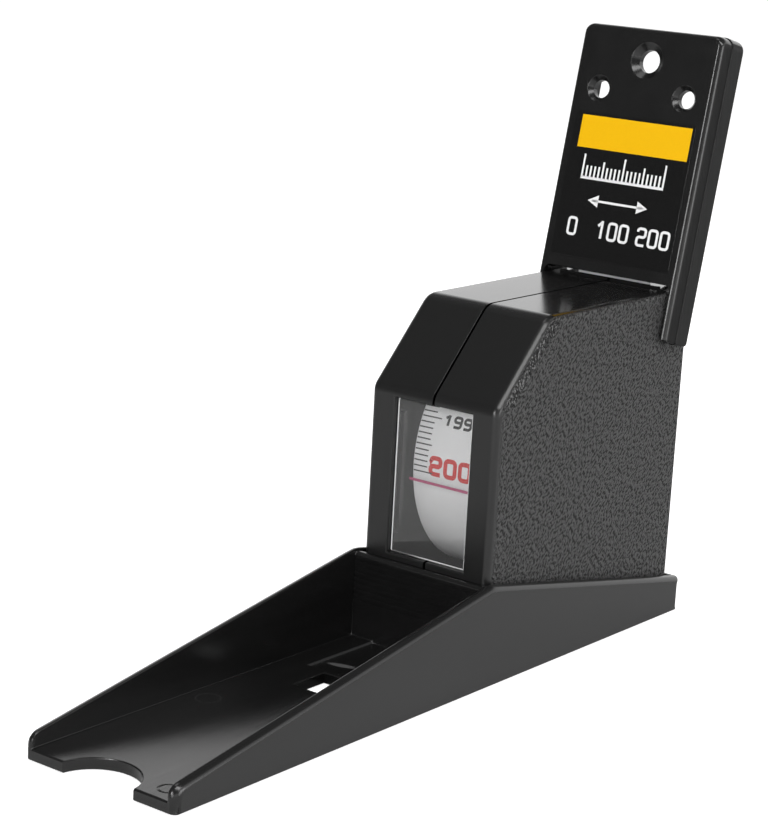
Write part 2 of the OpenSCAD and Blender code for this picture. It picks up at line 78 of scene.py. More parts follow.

# %% [markdown]
# ## Camera
# The camera comes first and stands at the photograph's own viewpoint.
# Its direction, roll and focal length were solved from the straight edges of the object. The lens
# shift only moves the frame to the photograph's crop.

# %% Camera
MM = 0.001
FRAME_W, FRAME_H = 768, 834
AZIMUTH, ELEVATION, ROLL = 36.502, 14.301, 3.374
TARGET = np.array([0.0, -60.0, 40.0])
DISTANCE = 408.14
FOCAL_PX = 2353.1
CENTRE_PX = (436.9, 443.1)


def camera_axes(azimuth, elevation, roll):
    """Right, up and forward of a camera that looks at the object from an azimuth and an elevation,
    with right and up turned together by the roll."""
    a, e, r = np.radians([azimuth, elevation, roll])
    forward = np.array([-np.sin(a) * np.cos(e), np.cos(a) * np.cos(e), -np.sin(e)])
    right = np.cross(forward, [0, 0, 1])
    right /= np.linalg.norm(right)
    up = np.cross(right, forward)
    return right * np.cos(r) + up * np.sin(r), up * np.cos(r) - right * np.sin(r), forward


right, up, forward = camera_axes(AZIMUTH, ELEVATION, ROLL)
camera = bpy.data.objects.new("camera", bpy.data.cameras.new("camera"))
bpy.context.scene.collection.objects.link(camera)
bpy.context.scene.camera = camera
turned = Matrix(np.column_stack([right, up, -forward]).tolist()).to_4x4()
camera.matrix_world = Matrix.Translation(Vector((TARGET - forward * DISTANCE) * MM)) @ turned
camera.data.sensor_width = 36
camera.data.lens = FOCAL_PX * camera.data.sensor_width / FRAME_H
camera.data.shift_x = (FRAME_W / 2 - CENTRE_PX[0]) / FRAME_H
camera.data.shift_y = (CENTRE_PX[1] - FRAME_H / 2) / FRAME_H
camera.data.clip_start = 0.01
print("camera lens", round(camera.data.lens, 2), "mm")

# %% [markdown]
# ## Sizes read from the frame
# Everything is worked out in millimetres and turned into metres when a mesh is made. The wall
# plate leans back, so its sizes are measured in its own axes: across, into its depth and up.

# %% Sizes
mouth = np.array(joints["head_tilt"]["pos_m"]) / MM
reel = np.array(joints["reel_spin"]["pos_m"]) / MM
screw_axis = np.array(mounts["top_screw_hole"]["axis"])
LEAN = math.atan2(screw_axis[2], -screw_axis[1])
plate_axes = np.array([
    [1, 0, 0],
    [0, math.cos(LEAN), -math.sin(LEAN)],
    [0, math.sin(LEAN), math.cos(LEAN)],
])


def points_of(node):
    """All corners of a node's mesh, in millimetres."""
    mesh = nodes[node].data
    flat = np.empty(len(mesh.vertices) * 3)
    mesh.vertices.foreach_get("co", flat)
    return flat.reshape(-1, 3) / MM


def box_of(node, axes=np.eye(3), origin=np.zeros(3)):
    """Lowest and highest corner of a node along the given axes from the given origin."""
    along = (points_of(node) - origin) @ axes.T
    return along.min(0), along.max(0)


tray_low, tray_high = box_of("head_tray")
case_low, case_high = box_of("shell_right")
lens_low, lens_high = box_of("window_lens")
coil_low, coil_high = box_of("tape_coil")
TAPE_HALF = coil_high[0]
COIL_R = (coil_high[2] - coil_low[2]) / 2
print("case", np.round(case_low, 2), np.round(case_high, 2), "coil radius", round(COIL_R, 2))
print("lean", round(math.degrees(LEAN), 2), "degrees")

# %% [markdown]
# ## Making meshes
# A `Skin` gathers patches of points. A grid is a whole array of points with one quad between each
# four neighbours. A flat face with holes is cut into triangles by Blender's own constrained
# triangulation. At the end the patches are welded, the faces turned outwards, and the edges that
# are truly sharp are marked, so that light breaks only there. Weighted normals keep the flats
# flat beside their small roundings.


# %% Mesh builder
class Skin:
    """Patches of a surface in millimetres, each face with a material number."""

    def __init__(self):
        self.points, self.faces, self.slots, self.count = [], [], [], 0

    def add(self, points, faces, slot=0):
        """Adds points (n, 3) and faces that count from the first of these points."""
        self.points.append(np.asarray(points, float).reshape(-1, 3))
        self.faces += [[corner + self.count for corner in face] for face in faces]
        self.slots += [slot] * len(faces)
        self.count += len(self.points[-1])

    def grid(self, points, keep=None, slot=0, around=False):
        """Adds an array (rows, columns, 3) as quads: face (i, j) joins rows i, i + 1 and columns
        j, j + 1. keep masks faces, and around joins the last column to the first."""
        points = np.asarray(points, float)
        if around:
            points = np.concatenate([points, points[:, :1]], 1)
        rows, columns = points.shape[:2]
        corner = np.arange(rows * columns).reshape(rows, columns)
        quads = np.stack([corner[:-1, :-1], corner[:-1, 1:], corner[1:, 1:], corner[1:, :-1]], -1)
        quads = quads.reshape(-1, 4) if keep is None else quads[keep]
        self.add(points, quads.tolist(), slot)

    def flat(self, place, outer, holes=(), slot=0):
        """Adds a flat face from its outer loop and its holes, given as 2-D points. place turns an
        array of 2-D points into 3-D points."""
        loops = [distinct(outer), *[distinct(hole) for hole in holes]]
        starts = np.cumsum([0] + [len(loop) for loop in loops])
        edges = [
            (a + i, a + (i + 1) % (b - a)) for a, b in zip(starts[:-1], starts[1:]) for i in range(b - a)
        ]
        points = [Vector(point) for point in np.concatenate(loops)]
        found = geometry.delaunay_2d_cdt(points, edges, [], 1, 1e-7)
        corners = np.array([tuple(point) for point in found[0]])
        faces = [f for f in found[2] if not any(inside(corners[f].mean(0), hole) for hole in loops[1:])]
        self.add(place(corners), faces, slot)

    def tube(self, place, at, outer, inner, low, high, steps=32):
        """Adds a closed ring of material round a point, from one height to another."""
        corners = zip((outer, outer, inner, inner), (low, high, high, low))
        points = np.stack([place(ring(at, radius, steps), height) for radius, height in corners])
        self.grid(np.concatenate([points, points[:1]]), around=True)

    def prism(self, rows, slot=0):
        """Adds a closed block from rows of outlines, the first and the last capped."""
        rows = np.stack(rows)
        self.grid(rows, slot=slot, around=True)
        for end in (0, -1):
            self.add(rows[end], [list(range(rows.shape[1]))], slot)

    def mesh(self, name, body, materials, stands_for=(), slot=None, weld=0.004, angle=32):
        """Welds the patches into one object in metres that rides on a body. The slot, the
        record's name for what the piece is made of, is not used."""
        mesh = bpy.data.meshes.new(name)
        mesh.from_pydata((np.concatenate(self.points) * MM).tolist(), [], self.faces)
        mesh.polygons.foreach_set("material_index", self.slots)
        work = bmesh.new()
        work.from_mesh(mesh)
        bmesh.ops.remove_doubles(work, verts=work.verts, dist=weld * MM)
        bmesh.ops.dissolve_degenerate(work, edges=work.edges, dist=weld * MM / 4)
        bmesh.ops.recalc_face_normals(work, faces=work.faces)
        loose = sum(len(edge.link_faces) != 2 for edge in work.edges)
        work.to_mesh(mesh)
        work.free()
        for material in materials:
            mesh.materials.append(material)
        mesh.polygons.foreach_set("use_smooth", np.ones(len(mesh.polygons), bool))
        mesh.set_sharp_from_angle(angle=math.radians(angle))
        piece = bpy.data.objects.new(name, mesh)
        bpy.context.scene.collection.objects.link(piece)
        weighted = piece.modifiers.new("weighted normals", "WEIGHTED_NORMAL")
        weighted.keep_sharp = True
        if body:
            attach(piece, body)
        if stands_for:
            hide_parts(*stands_for)
        print(name + ":", len(mesh.polygons), "faces,", loose, "edges without two faces")
        return piece if slot else piece


def distinct(loop):
    """Loop without points that repeat the one before them."""
    loop = np.asarray(loop, float)
    return loop[np.linalg.norm(loop - np.roll(loop, 1, 0), axis=1) > 1e-6]


def inside(point, loop):
    """True if a 2-D point lies in a loop, by counting the edges that a ray to the right crosses."""
    a, b = loop, np.roll(loop, -1, 0)
    spans = (a[:, 1] > point[1]) != (b[:, 1] > point[1])
    a, b = a[spans], b[spans]
    reach = a[:, 0] + (point[1] - a[:, 1]) * (b[:, 0] - a[:, 0]) / (b[:, 1] - a[:, 1])
    return np.count_nonzero(point[0] < reach) % 2 == 1


# %% Outlines
def ring(centre, radius, steps=48):
    """Circle of 2-D points round a centre."""
    angle = np.arange(steps) * 2 * np.pi / steps
    return np.asarray(centre) + radius * np.column_stack([np.cos(angle), np.sin(angle)])


def inset(corners, distances):
    """Polygon whose edge i, from corner i to the next, is moved inwards by its own distance. Each
    new corner is where the two moved lines cross."""
    corners = np.asarray(corners, float)
    after = np.roll(corners, -1, 0)
    along = (after - corners) / np.linalg.norm(after - corners, axis=1)[:, None]
    normal = np.column_stack([-along[:, 1], along[:, 0]])
    turn = np.sign(np.sum(corners[:, 0] * after[:, 1] - corners[:, 1] * after[:, 0]))
    level = np.sum(normal * corners, 1) + turn * np.asarray(distances, float)
    last, last_level = np.roll(normal, 1, 0), np.roll(level, 1)
    cross = last[:, 0] * normal[:, 1] - last[:, 1] * normal[:, 0]
    x = (last_level * normal[:, 1] - level * last[:, 1]) / cross
    y = (last[:, 0] * level - normal[:, 0] * last_level) / cross
    return np.column_stack([x, y])


def rounded(corners, radii, steps=6):
    """Polygon with an arc of its own radius in each corner. The arc touches both edges at the
    radius divided by the tangent of half the corner."""
    corners = np.asarray(corners, float)
    radii = np.maximum(np.broadcast_to(radii, len(corners)), 0.02)[:, None]
    u = np.roll(corners, 1, 0) - corners
    v = np.roll(corners, -1, 0) - corners
    u /= np.linalg.norm(u, axis=1)[:, None]
    v /= np.linalg.norm(v, axis=1)[:, None]
    half = np.arccos(np.clip(np.sum(u * v, 1), -1, 1))[:, None] / 2
    middle = (u + v) / np.linalg.norm(u + v, axis=1)[:, None]
    centre = corners + middle * radii / np.sin(half)
    first = corners + u * radii / np.tan(half) - centre
    last = corners + v * radii / np.tan(half) - centre
    start = np.arctan2(first[:, 1], first[:, 0])
    turn = (np.arctan2(last[:, 1], last[:, 0]) - start + np.pi) % (2 * np.pi) - np.pi
    angle = start[:, None] + turn[:, None] * np.linspace(0, 1, steps + 1)
    arc = centre[:, None] + radii[:, None] * np.stack([np.cos(angle), np.sin(angle)], -1)
    return arc.reshape(-1, 2)


def rectangle(x0, y0, x1, y1):
    """Four corners from the lowest to the highest, counterclockwise."""
    return np.array([(x0, y0), (x1, y0), (x1, y1), (x0, y1)], float)


def edge_round(radius, steps=5):
    """A rounded edge as (depth, inset) from the face to the side: depth r (1 - cos t) and inset
    r (1 - sin t), with t from 0 to a quarter turn."""
    t = np.linspace(0, np.pi / 2, steps + 1)
    return list(zip(radius * (1 - np.cos(t)), radius * (1 - np.sin(t))))


def along_x(points, x):
    """Puts (y, z) points at an x."""
    return np.column_stack([np.full(len(points), x), points])


def along_y(points, y):
    """Puts (x, z) points at a y."""
    return np.column_stack([points[:, 0], np.full(len(points), y), points[:, 1]])


def along_z(points, z):
    """Puts (x, y) points at a z."""
    return np.column_stack([points, np.full(len(points), z)])


print("mesh and outline helpers ready")

# %% [markdown]
# ## Shader arithmetic
# A `Value` is one socket of a material. Its operators add Math nodes, so a pattern reads like a
# formula. `Paint.node` makes any other node from its type, its settings and its inputs.


# %% Shader helpers
class Value:
    """A number or vector inside a material."""

    def __init__(self, paint, socket):
        self.paint, self.socket = paint, socket

    def math(self, operation, *others):
        """One Math node, with this value in its first socket."""
        inputs = dict(enumerate([self, *others]))
        return self.paint.node("ShaderNodeMath", {"operation": operation}, inputs)

    def __add__(self, other):
        return self.math("ADD", other)

    def __sub__(self, other):
        return self.math("SUBTRACT", other)

    def __mul__(self, other):
        return self.math("MULTIPLY", other)

    def __truediv__(self, other):
        return self.math("DIVIDE", other)

    def __radd__(self, other):
        return self.math("ADD", other)

    def __rmul__(self, other):
        return self.math("MULTIPLY", other)

    def __rsub__(self, other):
        return self.paint.node("ShaderNodeMath", {"operation": "SUBTRACT"}, {0: other, 1: self})

    def __rtruediv__(self, other):
        return self.paint.node("ShaderNodeMath", {"operation": "DIVIDE"}, {0: other, 1: self})

    def __pow__(self, other):
        return self.math("POWER", other)

    def __mod__(self, other):
        return self.math("FLOORED_MODULO", other)

    def __abs__(self):
        return self.math("ABSOLUTE")

    def most(self, other):
        """The larger of two values."""
        return self.math("MAXIMUM", other)

    def step(self, low, high):
        """0 below low, 1 above high and a smooth rise between. With low above high it falls."""
        settings = {"interpolation_type": "SMOOTHSTEP"}
        inputs = {"Value": self, "From Min": min(low, high), "From Max": max(low, high)}
        rise = self.paint.node("ShaderNodeMapRange", settings, inputs)
        return 1 - rise if low > high else rise


class Paint:
    """A material under construction, whose patterns read object coordinates in millimetres."""

    def __init__(self, name):
        self.material = bpy.data.materials.new(name)
        self.material.use_nodes = True
        self.tree = self.material.node_tree
        self.tree.nodes.clear()
        inputs = {0: self.node("ShaderNodeTexCoord", {}, {}, "Object"), "Scale": 1 / MM}
        self.place = self.node("ShaderNodeVectorMath", {"operation": "SCALE"}, inputs)
        split = self.node("ShaderNodeSeparateXYZ", {}, {0: self.place}).socket.node
        self.x, self.y, self.z = (Value(self, socket) for socket in split.outputs)

    def node(self, kind, settings, inputs, output=0):
        """Adds a node of a type, sets its settings, then its inputs by name or number."""
        made = self.tree.nodes.new(kind)
        for key, value in settings.items():
            setattr(made, key, value)
        for key, value in inputs.items():
            if isinstance(value, Value):
                self.tree.links.new(value.socket, made.inputs[key])
            else:
                made.inputs[key].default_value = value
        return Value(self, made.outputs[output])

    def scaled(self, x, y, z):
        """The place stretched along each axis, for a pattern that runs one way."""
        return self.node("ShaderNodeMapping", {}, {"Vector": self.place, "Scale": (x, y, z)})

    def noise(self, place, scale, detail=2.0, roughness=0.5):
        """Soft cloudy numbers from 0 to 1, about scale of them to a millimetre."""
        inputs = {"Vector": place, "Scale": scale, "Detail": detail, "Roughness": roughness}
        return self.node("ShaderNodeTexNoise", {}, inputs)

    def mix(self, share, first, second):
        """Colour between two colours."""
        return self.node("ShaderNodeMix", {"data_type": "RGBA"}, {0: share, 6: first, 7: second}, 2)

    def spot(self, x, y, radius, soft=0.15):
        """1 inside a circle in x and y, 0 outside."""
        return ((self.x - x) ** 2 + (self.y - y) ** 2).math("SQRT").step(radius + soft, radius - soft)

    def band(self, value, middle, half, soft=0.1):
        """1 where a value lies within half of the middle."""
        return abs(value - middle).step(half + soft, half - soft)

    def bump(self, height, depth):
        """Normal of a relief: height 0 to 1 over a depth in millimetres."""
        inputs = {"Strength": 1.0, "Distance": depth * MM, "Height": height}
        return self.node("ShaderNodeBump", {}, inputs)

    def over(self, share, first, second):
        """One shader with a share of another over it."""
        return self.node("ShaderNodeMixShader", {}, {0: share, 1: first, 2: second})

    def diffuse(self, colour):
        """A dull shader, which mirrors nothing."""
        return self.node("ShaderNodeBsdfDiffuse", {}, {"Color": colour})

    def coat(self, **inputs):
        """A principled shader, its sockets named with underscores for spaces."""
        names = {key.replace("_", " "): value for key, value in inputs.items()}
        return self.node("ShaderNodeBsdfPrincipled", {}, names)

    def principled(self, **inputs):
        """The finished material of one principled shader."""
        return self.finish(self.coat(**inputs))

    def finish(self, shader):
        """Links a shader to the output and returns the material."""
        out = self.tree.nodes.new("ShaderNodeOutputMaterial")
        self.tree.links.new(shader.socket, out.inputs["Surface"])
        return self.material


def grey(level):
    """Linear colour of one grey level."""
    return (level, level, level, 1.0)


print("shader helpers ready")

# %% [markdown]
# ## Studio
# A plain pale floor, a pale world and soft lamps. Black plastic shows mostly what it mirrors, so
# the world is bright low down behind the object and dim above and on the camera's side, as a
# studio sweep is. Camera rays see plain white instead, and the floor keeps the faint shadow.
# The floor goes with the head, which stands on it also when it is pulled two metres down.

# %% World
WORLD_TURN = (-0.10, 0.55)
WORLD_TOP = (0.62, 0.40)
WORLD_FRONT, WORLD_BACK = 0.15, 1.35


def make_world():
    """The world's strength for all but camera rays: the front level, plus the rest of the back
    level times how far the ray points backwards, times how far it points below the top."""
    world = bpy.data.worlds.new("studio")
    bpy.context.scene.world = world
    world.use_nodes = True
    tree = world.node_tree
    tree.nodes.clear()
    kinds = ["TexCoord", "SeparateXYZ", "MapRange", "MapRange", "Math", "LightPath"]
    way, split, behind, below, level, path = (tree.nodes.new("ShaderNode" + kind) for kind in kinds)
    kinds = ["Background", "Background", "MixShader", "OutputWorld"]
    seen, studio, mix, out = (tree.nodes.new("ShaderNode" + kind) for kind in kinds)
    top, low = WORLD_TOP
    ranges = [(behind, (*WORLD_TURN, 0.0, WORLD_BACK - WORLD_FRONT)), (below, (low, top, 1.0, 0.0))]
    for node, limits in ranges:
        node.interpolation_type = "SMOOTHSTEP"
        for key, value in zip(("From Min", "From Max", "To Min", "To Max"), limits):
            node.inputs[key].default_value = value
    level.operation = "MULTIPLY_ADD"
    level.inputs[2].default_value = WORLD_FRONT
    seen.inputs["Color"].default_value = grey(1.0)
    studio.inputs["Color"].default_value = grey(1.0)
    for start, end in [
        (way.outputs["Generated"], split.inputs[0]),
        (split.outputs["Y"], behind.inputs["Value"]),
        (split.outputs["Z"], below.inputs["Value"]),
        (behind.outputs[0], level.inputs[0]),
        (below.outputs[0], level.inputs[1]),
        (level.outputs[0], studio.inputs["Strength"]),
        (path.outputs["Is Camera Ray"], mix.inputs[0]),
        (studio.outputs[0], mix.inputs[1]),
        (seen.outputs[0], mix.inputs[2]),
        (mix.outputs[0], out.inputs["Surface"]),
    ]:
        tree.links.new(start, end)


make_world()
bpy.context.scene.view_settings.view_transform = "Standard"
print("world: front", WORLD_FRONT, "back", WORLD_BACK)


# %% Lamps
def lamp(name, place, target, width, height, watts, roll=0.0):
    """A soft rectangular lamp in metres that looks at a point, rolled about its own axis."""
    light = bpy.data.lights.new(name, "AREA")
    light.shape = "RECTANGLE"
    light.size, light.size_y, light.energy = width, height, watts
    made = bpy.data.objects.new(name, light)
    bpy.context.scene.collection.objects.link(made)
    way = Vector(target) - Vector(place)
    aimed = way.to_track_quat("-Z", "Y").to_matrix().to_4x4()
    made.matrix_world = Matrix.Translation(place) @ aimed @ Matrix.Rotation(math.radians(roll), 4, "Z")


LAMP_TARGET = (0.0, -0.06, 0.04)
lamp("key", (0.60, -0.26, 0.74), LAMP_TARGET, 0.95, 0.28, 6.0, -42)
lamp("front", (0.05, -1.05, 0.38), LAMP_TARGET, 0.30, 0.30, 4.2)
lamp("front right", (0.32, -1.01, 0.12), LAMP_TARGET, 0.50, 0.26, 1.6)
lamp("side", (0.85, -0.55, 0.10), LAMP_TARGET, 0.80, 0.26, 0.85)
lamp("right", (0.97, 0.19, 0.14), LAMP_TARGET, 0.50, 0.26, 2.1)
lamp("top", (-0.15, -0.10, 1.00), LAMP_TARGET, 0.40, 0.40, 1.0)

# %% Floor
FLOOR_LIFT = 0.80
FLOOR_REACH, FLOOR_DROP = 3.0, 0.0002


def make_floor():
    """One pale square in metres, a hair below the tray, that camera rays see lifted to white."""
    paint = Paint("floor")
    seen = paint.node("ShaderNodeLightPath", {}, {}, "Is Camera Ray")
    cloud = paint.noise(paint.place, 0.004, 1.0)
    pale = paint.diffuse(paint.mix(cloud, grey(0.78), grey(0.82)))
    white = paint.node("ShaderNodeEmission", {}, {"Color": grey(1.0), "Strength": seen * FLOOR_LIFT})
    corners = along_z(rectangle(-1, -1, 1, 1) * FLOOR_REACH, -FLOOR_DROP)
    mesh = bpy.data.meshes.new("floor")
    mesh.from_pydata(corners.tolist(), [], [(0, 1, 2, 3)])
    mesh.materials.append(paint.finish(paint.node("ShaderNodeAddShader", {}, {0: pale, 1: white})))
    floor = bpy.data.objects.new("floor", mesh)
    bpy.context.scene.collection.objects.link(floor)
    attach(floor, "head")
    floor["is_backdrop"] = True


make_floor()
print("floor made")

# %% [markdown]
# ## Black plastics
# All the mouldings are one black plastic with different tool finishes. The sides of the housing
# carry a leathery grain that leans back, torn to coarse flecks below the sloped front. Its top is
# polished and its front is satin. The relief is a bump over a few tenths of a millimetre, so the
# outline stays smooth. The seam is mixed to a plain black, because no light comes out of the gap.

# %% Housing finish
# How far the rounded skins stand proud of the sharp solids at their sides
SWELL = 0.3
CASE_HALF = case_high[0] + SWELL
CASE_FRONT, CASE_BACK, CASE_FLOOR, CASE_TOP = case_low[1], case_high[1], case_low[2], case_high[2]
BEVEL_Y, BEVEL_Z = 14.1, 14.7
# The grain stops this far from the front edge, and its strokes lean back by this angle
PLAIN_BAND, GRAIN_LEAN = 2.0, math.radians(41)
# Grains to a millimetre, the noise levels between which the relief rises, its grey and its depth
GRAIN_SCALE, GRAIN_EDGE, GRAIN_GREY, GRAIN_DEPTH = 2.5, (0.37, 0.58), 0.044, 0.40
# The torn flecks: the band below the slope that they fill, their noise levels and their grey
TORN_BAND, TORN_EDGE, TORN_GREY = (4.4, 3.2), (0.54, 0.60), 0.20
SEAM_SHADE = 0.22


def case_material():
    """Grain where the surface is a side, behind the plain band and below the slope. to_bevel is the
    distance from the slope's line, so that the torn flecks follow it."""
    paint = Paint("case_plastic")
    lean = {"Vector": paint.place, "Rotation": (GRAIN_LEAN, 0, 0), "Scale": (1.0, 1.8, 1.0)}
    strokes = paint.node("ShaderNodeMapping", {"vector_type": "TEXTURE"}, lean)
    relief = paint.noise(strokes, GRAIN_SCALE, 1.0, 0.5).step(*GRAIN_EDGE)
    ragged = paint.noise(paint.place, 1.4, 3.0, 0.6) * 1.8
    side = abs(paint.x).step(CASE_HALF - 0.45, CASE_HALF - 0.12)
    front = (paint.y + ragged).step(CASE_FRONT + PLAIN_BAND + 0.3, CASE_FRONT + PLAIN_BAND + 1.1)
    slope = math.hypot(BEVEL_Y, BEVEL_Z)
    rise = (paint.z - (CASE_TOP - BEVEL_Z)) * (BEVEL_Y / slope)
    to_bevel = (paint.y - CASE_FRONT) * (BEVEL_Z / slope) - rise
    flat_side = abs(paint.x).step(CASE_HALF - 0.06, CASE_HALF - 0.02)
    beside_slope = paint.z.step(CASE_TOP - BEVEL_Z - 1, CASE_TOP - BEVEL_Z + 1)
    torn = flat_side * (to_bevel + ragged * 0.6).step(*TORN_BAND) * beside_slope
    grained = (side * front * (to_bevel + ragged * 0.4).step(0.9, 1.3)).most(torn)
    coarse = paint.noise(paint.scaled(1.0, 3.2, 2.1), 1.0, 2.0, 0.6).step(*TORN_EDGE)
    pores = paint.noise(paint.place, 7.0, 3.0, 0.6)
    waves = paint.noise(paint.place, 0.22, 1.0)
    top = paint.z.step(CASE_TOP - 0.5, CASE_TOP - 0.1)
    plain = waves * (0.12 - top * 0.10) + pores * (0.02 - top * 0.015)
    height = relief * grained + (1 - grained) * plain
    rough = grained * (0.40 + (1 - relief) * 0.35) + (1 - grained) * (0.27 - top * 0.12 + pores * 0.04)
    grain_colour = paint.mix(relief, grey(0.0), grey(GRAIN_GREY))
    torn_colour = paint.mix(coarse, grey(0.0), grey(TORN_GREY))
    colour = paint.mix(grained, grey(0.008), grain_colour)
    colour = paint.mix(torn * 0.9, colour, torn_colour)
    normal = paint.bump(height, GRAIN_DEPTH)
    plastic = paint.coat(Base_Color=colour, Roughness=rough + torn * 0.3, Normal=normal)
    seam = abs(paint.x).step(SEAM_SHADE + 0.08, SEAM_SHADE)
    return paint.finish(paint.over(seam, plastic, paint.diffuse(grey(0.001))))


case_plastic = case_material()
print("finish:", case_plastic.name)


# %% Tray and plate finishes
# Places on the tray's floor: two marks of the mould's pins, and a painted glint, a soft light patch, with its
# direction and size
PIN, TIP_PIN = (-10.5, -105), (11.2, -137.2)
PAINTED_GLINT, PAINTED_GLINT_WAY, PAINTED_GLINT_SIZE = (-5.8, -76.0), (0.968, 0.25), (3.0, 0.9)
# Half width and front edge of the sunk panel, and middle and half sizes of the floor opening
PANEL_HALF, PANEL_EDGE = 9.5, -80.8
OPENING_Y, OPENING_HALF = -85.85, (5.4, 4.5)
# Where the plate's sides and its rear rim begin, measured across it
SIDE_FROM, RIM_FROM = (15.1, 15.25), (15.38, 15.5)


def tray_material():
    """Smooth black with faint flow lines along the tray. On its floor show the thin rings that the
    mould's pins left, a painted highlight along the sunk panel's edge, a painted glint, and
    painted shade in the opening, a plain near-black."""
    paint = Paint("tray_plastic")
    pores = paint.noise(paint.place, 6.0, 3.0, 0.6)
    flow = paint.noise(paint.scaled(0.35, 0.05, 0.35), 1.0, 2.0)
    pins = paint.spot(*PIN, 2.2) - paint.spot(*PIN, 2.0)
    tip_pin = paint.spot(*TIP_PIN, 1.7) - paint.spot(*TIP_PIN, 1.45)
    floor = paint.z.step(2.3, 2.1)
    # Painted highlight: a thin light line along the sunk panel's sides and front edge, mixed at 0.35 towards grey
    # 0.10 below
    sides = paint.band(abs(paint.x), PANEL_HALF, 0.1) * paint.y.step(PANEL_EDGE - 0.2, PANEL_EDGE)
    within = abs(paint.x).step(PANEL_HALF + 0.1, PANEL_HALF)
    panel = floor * sides.most(paint.band(paint.y, PANEL_EDGE, 0.12) * within)
    # Painted glint: a soft light oval on the floor, mixed towards grey 0.10 below
    x, y = paint.x - PAINTED_GLINT[0], paint.y - PAINTED_GLINT[1]
    u, v = x * PAINTED_GLINT_WAY[0] + y * PAINTED_GLINT_WAY[1], y * PAINTED_GLINT_WAY[0] - x * PAINTED_GLINT_WAY[1]
    painted_glint = floor * ((u / PAINTED_GLINT_SIZE[0]) ** 2 + (v / PAINTED_GLINT_SIZE[1]) ** 2).step(1.2, 0.3)
    rough = 0.17 + pores * 0.05 + flow * 0.07
    colour = paint.mix(flow, grey(0.005), grey(0.009))
    colour = paint.mix((panel * 0.35).most(painted_glint).most(pins * 0.3), colour, grey(0.10))
    height = pores * 0.12 + flow * 0.6 + pins + tip_pin * 2.0
    plastic = paint.coat(Base_Color=colour, Roughness=rough, Normal=paint.bump(height, 0.05))
    # Painted shade: in the floor opening, below the floor's top, the plastic is mostly mixed to a plain near-black
    # diffuse
    hatch = paint.band(paint.y, OPENING_Y, OPENING_HALF[1]) * paint.band(paint.x, 0, OPENING_HALF[0])
    hatch = hatch * paint.z.step(1.9, 1.7)
    return paint.finish(paint.over(hatch * 0.85, plastic, paint.diffuse(grey(0.004))))


def plate_material():
    """Glossy at the front with slight waves, duller and streaked at the sides."""
    paint = Paint("plate_plastic")
    pores = paint.noise(paint.place, 5.0, 3.0, 0.6)
    waves = paint.noise(paint.place, 0.25, 1.0)
    streaks = paint.noise(paint.scaled(0.5, 1.6, 0.12), 1.0, 3.0, 0.6)
    side, rim = abs(paint.x).step(*SIDE_FROM), abs(paint.x).step(*RIM_FROM)
    colour = paint.mix(waves, grey(0.005), grey(0.010))
    normal = paint.bump(pores * 0.1 + waves * 0.9, 0.05)
    rough = 0.18 + pores * 0.08 + side * 0.25
    plastic = paint.coat(Base_Color=colour, Roughness=rough, Normal=normal)
    share = side * (0.72 - streaks * 0.2) - rim * 0.12
    return paint.finish(paint.over(share, plastic, paint.diffuse(grey(0.004))))


tray_plastic = tray_material()
plate_plastic = plate_material()
print("finishes:", tray_plastic.name, plate_plastic.name)

# %% [markdown]
# ## Housing shells
# The housing is two shells that meet in the middle. Each is a loft: its side outline is carried
# from the seam to the side, and drawn in along a quarter round at the edge. The window, the
# tape's slot and the screw wells are openings whose edges are carried inwards as strips.

# %% Housing sizes
WALL = 1.8
# The side edges' radius, and the share of it that the floor and the back take
EDGE_R, BACK_SHARE = 1.15, 0.3
CASE_RADII = np.array([0.6, 0.6, 1.2, 4.0, 2.8])
SEAM = case_low[0] + 0.06
SEAM_BREAK, WINDOW_BREAK = 0.12, 0.3
LENS_LIP = 0.5
window_half = lens_high[0] - LENS_LIP
window_z = (lens_low[2] + LENS_LIP, lens_high[2] - LENS_LIP)
slot_y = (mouth[1] - 1.0, mouth[1] + 0.7)
slot_half = TAPE_HALF + 0.6
LIP_H = 0.4
# Rows of every loft across the housing, from the seam to past the window
base_x = np.array([SEAM, SEAM + SEAM_BREAK, window_half, slot_half, window_half + WINDOW_BREAK])
# Face of the outline that holds the slot: three corners of seven points come before it
SLOT_FACE = 21
# Screw wells in the side, and radius and bore of what stands inside
WELL_R, WELL_D = 2.6, 1.6
BOSS_R, BOSS_BORE, BOSS_IN = 2.8, 1.2, WALL + 2.6
HUB_R, HUB_BORE, HUB_X = 5.2, 3.05, 9.0
POST_R, POST_BORE, POST_TOP = 2.4, 0.95, 7.5
POST_X, POST_Y = 7.5, (CASE_BACK - 14, CASE_FRONT + 14)
bosses = [
    (CASE_FRONT + BOSS_IN, CASE_FLOOR + BOSS_IN),
    (CASE_BACK - BOSS_IN, CASE_FLOOR + BOSS_IN),
    (mouth[1] - 13, CASE_TOP - BOSS_IN),
]


def case_outline(d, share=1.0):
    """Side outline of the housing, moved in by d, as (y, z) points that start at the lower front
    and run backwards along the floor. The floor and the back move in by a share of d. Extra points
    mark the ends of the slot and the window."""
    corners = inset([
        (CASE_FRONT, CASE_FLOOR), (CASE_BACK, CASE_FLOOR), (CASE_BACK, CASE_TOP),
        (CASE_FRONT + BEVEL_Y, CASE_TOP), (CASE_FRONT, CASE_TOP - BEVEL_Z),
    ], [d * share, d * share, d, d, d])
    loop = rounded(corners, CASE_RADII - d, 6)
    slot = [(slot_y[1], corners[2][1]), (slot_y[0], corners[2][1])]
    sides = (window_z[1] + WINDOW_BREAK, window_z[1], window_z[0], window_z[0] - WINDOW_BREAK)
    window = [(corners[0][0], z) for z in sides]
    return np.concatenate([loop[:SLOT_FACE], slot, loop[SLOT_FACE:], window])


OUTLINE_N = len(case_outline(0.0))
WINDOW_FACE = OUTLINE_N - 3
print("outline of", OUTLINE_N, "points, window", np.round(window_z, 2))


